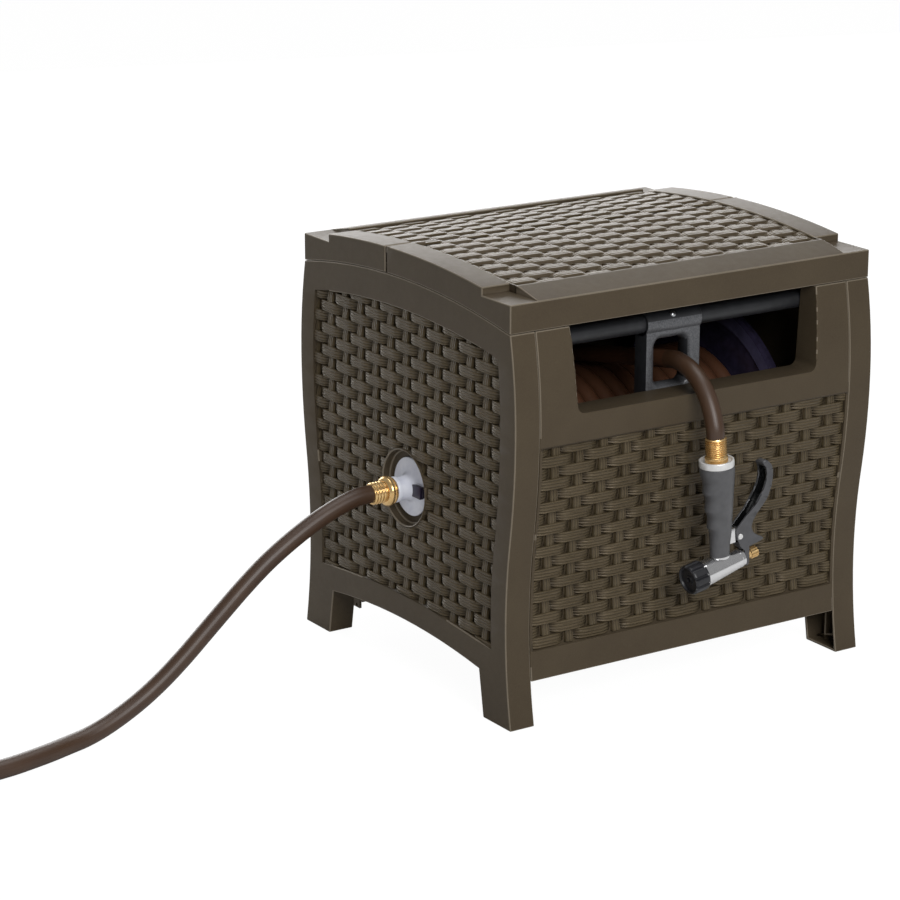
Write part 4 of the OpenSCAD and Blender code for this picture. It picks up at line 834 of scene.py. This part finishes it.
# Handle: height, lever side, finger side and half thickness, with three finger ridges
gripRings = [(186, 11.2, 13.8, 11), (192, 11.8, 13.2, 11.2), (197, 12.2, 13, 11.5), (205, 14, 12.6, 12),
             (214, 15.8, 12.3, 12.8), (220, 16.6, 13.9, 13.2), (224, 17, 16.1, 13.5), (228, 17.4, 15.3, 13.8),
             (235, 18, 14.2, 14.3), (241, 18.6, 15.7, 14.8), (246, 19, 18.2, 15.3), (250, 19.4, 17.3, 15.6),
             (257, 20, 16.1, 16.2), (264, 20.5, 17.4, 16.7), (269, 21, 19.7, 17.2), (274, 21.4, 18.7, 17.7),
             (281, 22, 18.2, 18.4), (288, 22.4, 20.4, 19.6), (293, 22.3, 21.6, 20.5),
             (298.5, 21.6, 21.5, 21.2), (300.3, 20.9, 20.9, 20.7)]
saddleRings = [(170, 21, 12, 8), (178, 19, 12.4, 8.6), (183, 15, 12.6, 9.4), (187, 11.6, 12.6, 10.2),
               (191, 10.4, 12, 10)]


# Rings of a handle that is an oval with unlike sides
def ovalRings(table, step, sides=48):
    rings = []
    for z, right, left, half in smoothPath(table, step):
        ring = []
        for k in range(sides):
            a = math.tau * k / sides
            ring.append(((right if math.cos(a) > 0 else left) * math.cos(a), half * math.sin(a), z))
        rings.append(ring)
    return rings


def addGrip():
    work = bmesh.new()
    addLoft(work, handleFrame, ovalRings(gripRings, 4))
    finishPiece("nozzle_grip_moulded", work, gripRubber, "guide", "nozzle_grip", 60)


def addBarrel():
    work = bmesh.new()
    addTurned(work, barrelFrame, barrel["profile"], 96)
    addLoft(work, handleFrame, ovalRings(saddleRings, 3))
    lugs = addBlocks(work, barrel["lugs"])
    moveTo(work, handleFrame, lugs)
    around = [edge for edge in work.edges if all(vert in lugs for vert in edge.verts)]
    roundEdges(work, around, barrel["lugEdge"])
    finishPiece("nozzle_barrel_plated", work, chrome, "guide", "nozzle_barrel")


# Dial: a plain front profile, and the flutes' count, depth, share of the pitch and inner and outer radius
dial = {
    "outer": 18.6, "rows": 11, "rowStep": 1.6, "flutes": 10, "deep": 2.6, "share": (0.62, 0.84),
    "between": (0.0168, 0.0185), "rear": [(14.8, 59.5), (16.9, 60.2), (17.8, 61), (18.6, 62.2)],
    "front": [(18, 81.2), (16.9, 82.2), (15.8, 82.2), (15, 81.4), (14.6, 79), (6.2, 79), (5.8, 80.6),
              (3.6, 80.6), (3.2, 77), (0, 77)],
}


def addDial():
    rear = dial["rear"][-1][1]
    wall = [(dial["outer"], rear + dial["rowStep"] * i) for i in range(1, dial["rows"] + 1)]
    work = bmesh.new()
    for vert in addTurned(work, Matrix.Identity(4), dial["rear"] + wall + dial["front"], 160):
        turn = math.atan2(vert.co.y, vert.co.x) / math.tau * dial["flutes"] % 1
        groove = easeStep(*dial["share"], abs(2 * turn - 1)) * easeStep(*dial["between"], vert.co.xy.length)
        vert.co.xy *= 1 - groove * dial["deep"] / dial["outer"]
    moveTo(work, barrelFrame, work.verts)
    finishPiece("spray_dial_moulded", work, darkPlastic, "dial", "spray_dial", 40)


knurl = {"ridges": 12, "deep": 0.07, "beyond": 0.0063}  # depth as a share of the radius, and from where


def addFlowNut():
    profile = [(0, -9.8), (5.2, -9.8), (5.6, -12.6), (6.6, -13.2), (6.6, -23.2), (5.6, -24), (0, -24)]
    work = bmesh.new()
    for vert in addTurned(work, Matrix.Identity(4), profile, 96):
        if vert.co.xy.length > knurl["beyond"]:
            wave = math.cos(knurl["ridges"] * math.atan2(vert.co.y, vert.co.x))
            vert.co.xy *= 1 + knurl["deep"] * wave
    moveTo(work, barrelFrame, work.verts)
    finishPiece("flow_nut_knurled", work, brass, "flow_nut", "flow_nut")


def addStem():
    profile = [(0, -25.6), (3.2, -25.6), (3.8, -25), (3.8, 3), (0, 3)]
    addTurnedPiece("valve_stem_turned", barrelFrame, profile, chrome, "valve", "valve_stem",
                   steps=32)


# Pivot pin of the lever, with a domed head at each end
pin = {"place": (25.5, 0, 205), "head": [(0, 0), (2, 0), (2, 7.6), (3.3, 7.7), (3.6, 8.2), (3.2, 9),
                                         (1.6, 9.5), (0, 9.6)]}


def addPin():
    work = bmesh.new()
    for side in (-1, 1):
        turn = Matrix.Translation(pin["place"]) @ Matrix.Rotation(-side * math.pi / 2, 4, "X")
        addTurned(work, handleFrame @ turn, pin["head"], 32)
    finishPiece("trigger_pin_headed", work, whiteMetal, "guide", "trigger_pin")


# Lever: heights with the x of its inner and outer side in the CAD shape
leverSides = [(225, 32.5, 49.5), (233, 41.8, 55.4), (242, 49.8, 61.4), (251, 56.5, 67.1), (261, 62.3, 71.0),
              (271, 66.3, 73.6), (281, 67.3, 75.0), (289, 66.0, 73.0), (296, 65.4, 69.0)]


def leverSpan(z):
    for (z0, in0, out0), (z1, in1, out1) in zip(leverSides, leverSides[1:]):
        if z <= z1:
            t = clamp((z - z0) / (z1 - z0), 0, 1)
            return in0 + (in1 - in0) * t, out0 + (out1 - out0) * t
    return leverSides[-1][1:]


# How the lever grows past the CAD shape: heights where it starts and ends widening, and by how much
lever = {"widen": (225, 243), "wider": 0.27, "outwards": (2.3, 1.7), "back": (262, 287, 1.2),
         "hook": (287, 295, 2.5), "tip": (285, 11.6), "shorten": (240, 56, 3.5), "channelHalf": 4.75,
         "edge": 0.8}


# The lever widens to a rounded end: the CAD shape is cut across its length and its points are moved
def addLever():
    work = mergedCopy("nozzle_trigger", 0.6)
    bmesh.ops.transform(work, matrix=handleFrame.inverted() @ Matrix.Scale(1000, 4), verts=work.verts)
    channel = work.faces.layers.int.new("channel")
    for face in work.faces:
        face[channel] = all(abs(vert.co.y) < lever["channelHalf"] for vert in face.verts)
    cuts = list(range(228, 284, 5)) + [284 + 1.2 * i for i in range(10)]  # finer towards the tip
    for z in cuts:
        bmesh.ops.bisect_plane(work, geom=work.verts[:] + work.edges[:] + work.faces[:], dist=0.01,
                               plane_co=(0, 0, z), plane_no=(0, 0, 1))
    for vert in work.verts:
        x, y, z = vert.co
        inner, outer = leverSpan(z)
        across = clamp((x - inner) / (outer - inner), 0, 1)
        grow = easeStep(*lever["widen"], z)
        x += (lever["outwards"][0] + lever["outwards"][1] * across) * grow
        x -= lever["back"][2] * easeStep(*lever["back"][:2], z)
        x += lever["hook"][2] * easeStep(*lever["hook"][:2], z) * (1 - across)
        tip = clamp((z - lever["tip"][0]) / lever["tip"][1], 0, 1)
        y *= (1 + lever["wider"] * grow) * math.sqrt(1 - tip * tip)
        bottom, length, most = lever["shorten"]
        vert.co = (x, y, z - most * clamp((z - bottom) / length, 0, 1))
    bmesh.ops.transform(work, matrix=Matrix.Scale(0.001, 4) @ handleFrame, verts=work.verts)
    sharp = [edge for edge in work.edges if canEase(edge, 50, lever["edge"] / 1000)]
    roundEdges(work, sharp, lever["edge"], True)
    many = [face for face in work.faces if len(face.verts) > 4 and not face[channel]]
    bmesh.ops.triangulate(work, faces=many)
    work.faces.index_update()
    inChannel = [face.index for face in work.faces if face[channel]]
    piece = addPiece("nozzle_lever_cast", work, leverPaint, "trigger")
    paintFaces(piece, inChannel, glossBlack)
    evenNormals(piece, 40)
    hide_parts("nozzle_trigger")


addInlet()
addTailFerrule()
addCollar()
addGrip()
addBarrel()
addDial()
addFlowNut()
addStem()
addPin()
addLever()
print("nozzle built")

# Hose guide


# A rounded rectangle across the guide, at a depth y: (low x, high x, low z, high z, corner, y)
def frameRing(x0, x1, z0, z1, r, y):
    ring = []
    for x, z, start in ((x1 - r, z1 - r, 0), (x0 + r, z1 - r, 90),
                        (x0 + r, z0 + r, 180), (x1 - r, z0 + r, 270)):
        for i in range(9):
            a = math.radians(start + 11.25 * i)
            ring.append((x + r * math.cos(a), y, z + r * math.sin(a)))
    return ring


# Hose guide, in millimetres: shift is how far the photograph has it left of the CAD node, and left is
# less than right so that it clears the window's jamb at the end of its slide
guide = {
    "shift": -5, "left": 38.5, "right": 42.5, "low": 369.0, "high": 465.5, "front": -202.5, "back": -179.5,
    "corner": 4.0, "eyeHalf": 23.5, "eyeLow": 385.0, "eyeHigh": 441.0, "eyeCorner": 9.0,
    "rod": (-190, 461.5), "rodHole": 11.6, "saddle": 16, "saddleEdge": 0.8, "screwLean": 52,
    "screw": [(0, 14), (2, 14), (2, 15.8), (3.9, 15.9), (4, 16.6), (3.3, 17.8), (1.8, 18.5), (0, 18.7)],
}
# How far each ring stands in or out, and its depth behind the front, to round the plate's and eye's edges
plateRound = [(1.6, 0), (0.5, 0.4), (0, 1.6)]
eyeRound = [(8.5, 0), (6.6, 0.3), (4.4, 1.3), (2.4, 3), (0.9, 5.6), (0, 9.5)]


def addGuide():
    g, x = guide, cabinet["guideX"] + guide["shift"]
    front, back = g["front"], g["back"]
    rings = [frameRing(x - g["left"] + grow, x + g["right"] - grow, g["low"] + grow, g["high"] - grow,
                       g["corner"], y)
             for grow, y in [(grow, front + deep) for grow, deep in plateRound] + [(0, back - 1)]]
    eye = [frameRing(x - g["eyeHalf"] - grow, x + g["eyeHalf"] + grow, g["eyeLow"] - grow,
                     g["eyeHigh"] + grow, g["eyeCorner"] + grow, y)
           for grow, y in [(grow, front + deep) for grow, deep in eyeRound] + [(0, back - 6), (3, back)]]
    outer = frameRing(x - g["left"], x + g["right"], g["low"], g["high"], g["corner"], back)
    work = bmesh.new()
    addLoft(work, Matrix.Identity(4), eye + [outer] + rings[::-1] + [eye[0]])
    rod = Matrix.Translation((x, *g["rod"]))
    hole, r, edge, left, right = g["rodHole"], g["saddle"], g["saddleEdge"], -g["left"], g["right"]
    addTurned(work, rod @ Matrix.Rotation(math.pi / 2, 4, "Y"), [
        (hole, left), (r - edge, left), (r, left + edge), (r, right - edge), (r - edge, right),
        (hole, right), (hole, left)])
    bmesh.ops.remove_doubles(work, verts=work.verts, dist=1e-6)
    bmesh.ops.recalc_face_normals(work, faces=work.faces)
    work.faces.index_update()
    # The saddle's top, above the plate, takes the dark coat as painted shade under the lid; the faces turned
    # to the left take it as well
    dark = [face.index for face in work.faces
            if face.calc_center_median().z > 0.466 or face.normal.x < -0.8]
    piece = addPiece("guide_carriage_cast", work, hammeredPaint, "guide")
    paintFaces(piece, dark, rodPaintAndShade)
    piece.data.set_sharp_from_angle(angle=math.radians(40))
    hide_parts("guide_carriage")
    lean = Matrix.Rotation(math.radians(g["screwLean"]), 4, "X")
    addTurnedPiece("guide_screw_domed", rod @ lean, g["screw"], zinc, "guide", "guide_screw",
                   steps=32)


addGuide()
print("guide built")

# Light and floor


# White area lamps: place, target and size in metres, and power in watts; the rear wall stands behind the
# set, where the lid and the wicker mirror it at a glance
lamps = {
    "key_light": ((-1.0, -3.8, 2.4), (0, 0, 0.25), (2.2, 1.6), 118),
    "top_light": ((0.2, 0.0, 3.0), (0, 0, 0.4), (2.0, 2.0), 36),
    "rear_wall": ((1.3, 4.2, 1.3), (0, 0, 0.5), (6.0, 2.6), 190),
}
studio = {"sky": 0.27, "paper": "#d8d8d8", "paperRough": 0.9, "glow": 1.12, "glowShare": 0.86,
          "floorHalf": 14}


def addArea(name, place, target, size, power):
    lamp = bpy.data.lights.new(name, "AREA")
    lamp.shape = "RECTANGLE"
    lamp.size, lamp.size_y = size
    lamp.energy = power
    shown = bpy.data.objects.new(name, lamp)
    scene.collection.objects.link(shown)
    shown.visible_camera = False
    shown.location = place
    shown.rotation_euler = (Vector(target) - Vector(place)).to_track_quat("-Z", "Y").to_euler()


def lightScene():
    world = bpy.data.worlds.new("studio")
    scene.world = world
    world.use_nodes = True
    tree = world.node_tree
    tree.nodes.clear()
    rays = addNode(tree, "LightPath")
    soft = addNode(tree, "Background", {"Color": linearColor("#ffffff"), "Strength": studio["sky"]})
    white = addNode(tree, "Background", {"Color": linearColor("#ffffff"), "Strength": 1.0})
    pick = addNode(tree, "MixShader", {0: rays.outputs["Is Camera Ray"], 1: soft, 2: white})
    addNode(tree, "OutputWorld", {"Surface": pick})
    for name, settings in lamps.items():
        addArea(name, *settings)


def addFloor():
    material, tree, shader = newMaterial("studio_sweep")
    rays = addNode(tree, "LightPath")
    glow = addNode(tree, "Emission", {"Color": linearColor("#ffffff"), "Strength": studio["glow"]})
    fill(tree, shader, {"Base Color": linearColor(studio["paper"]), "Roughness": studio["paperRough"]})
    mix = addNode(tree, "MixShader", {0: studio["glowShare"], 1: shader, 2: glow})
    seen = addNode(tree, "MixShader", {0: rays.outputs["Is Camera Ray"], 1: shader, 2: mix})
    fill(tree, tree.nodes["Material Output"], {"Surface": seen})
    work = bmesh.new()
    bmesh.ops.create_grid(work, x_segments=1, y_segments=1, size=studio["floorHalf"])
    mesh = bpy.data.meshes.new("floor")
    work.to_mesh(mesh)
    work.free()
    mesh.materials.append(material)
    floor = bpy.data.objects.new("floor", mesh)
    scene.collection.objects.link(floor)


lightScene()
addFloor()
print("lights and floor in place")
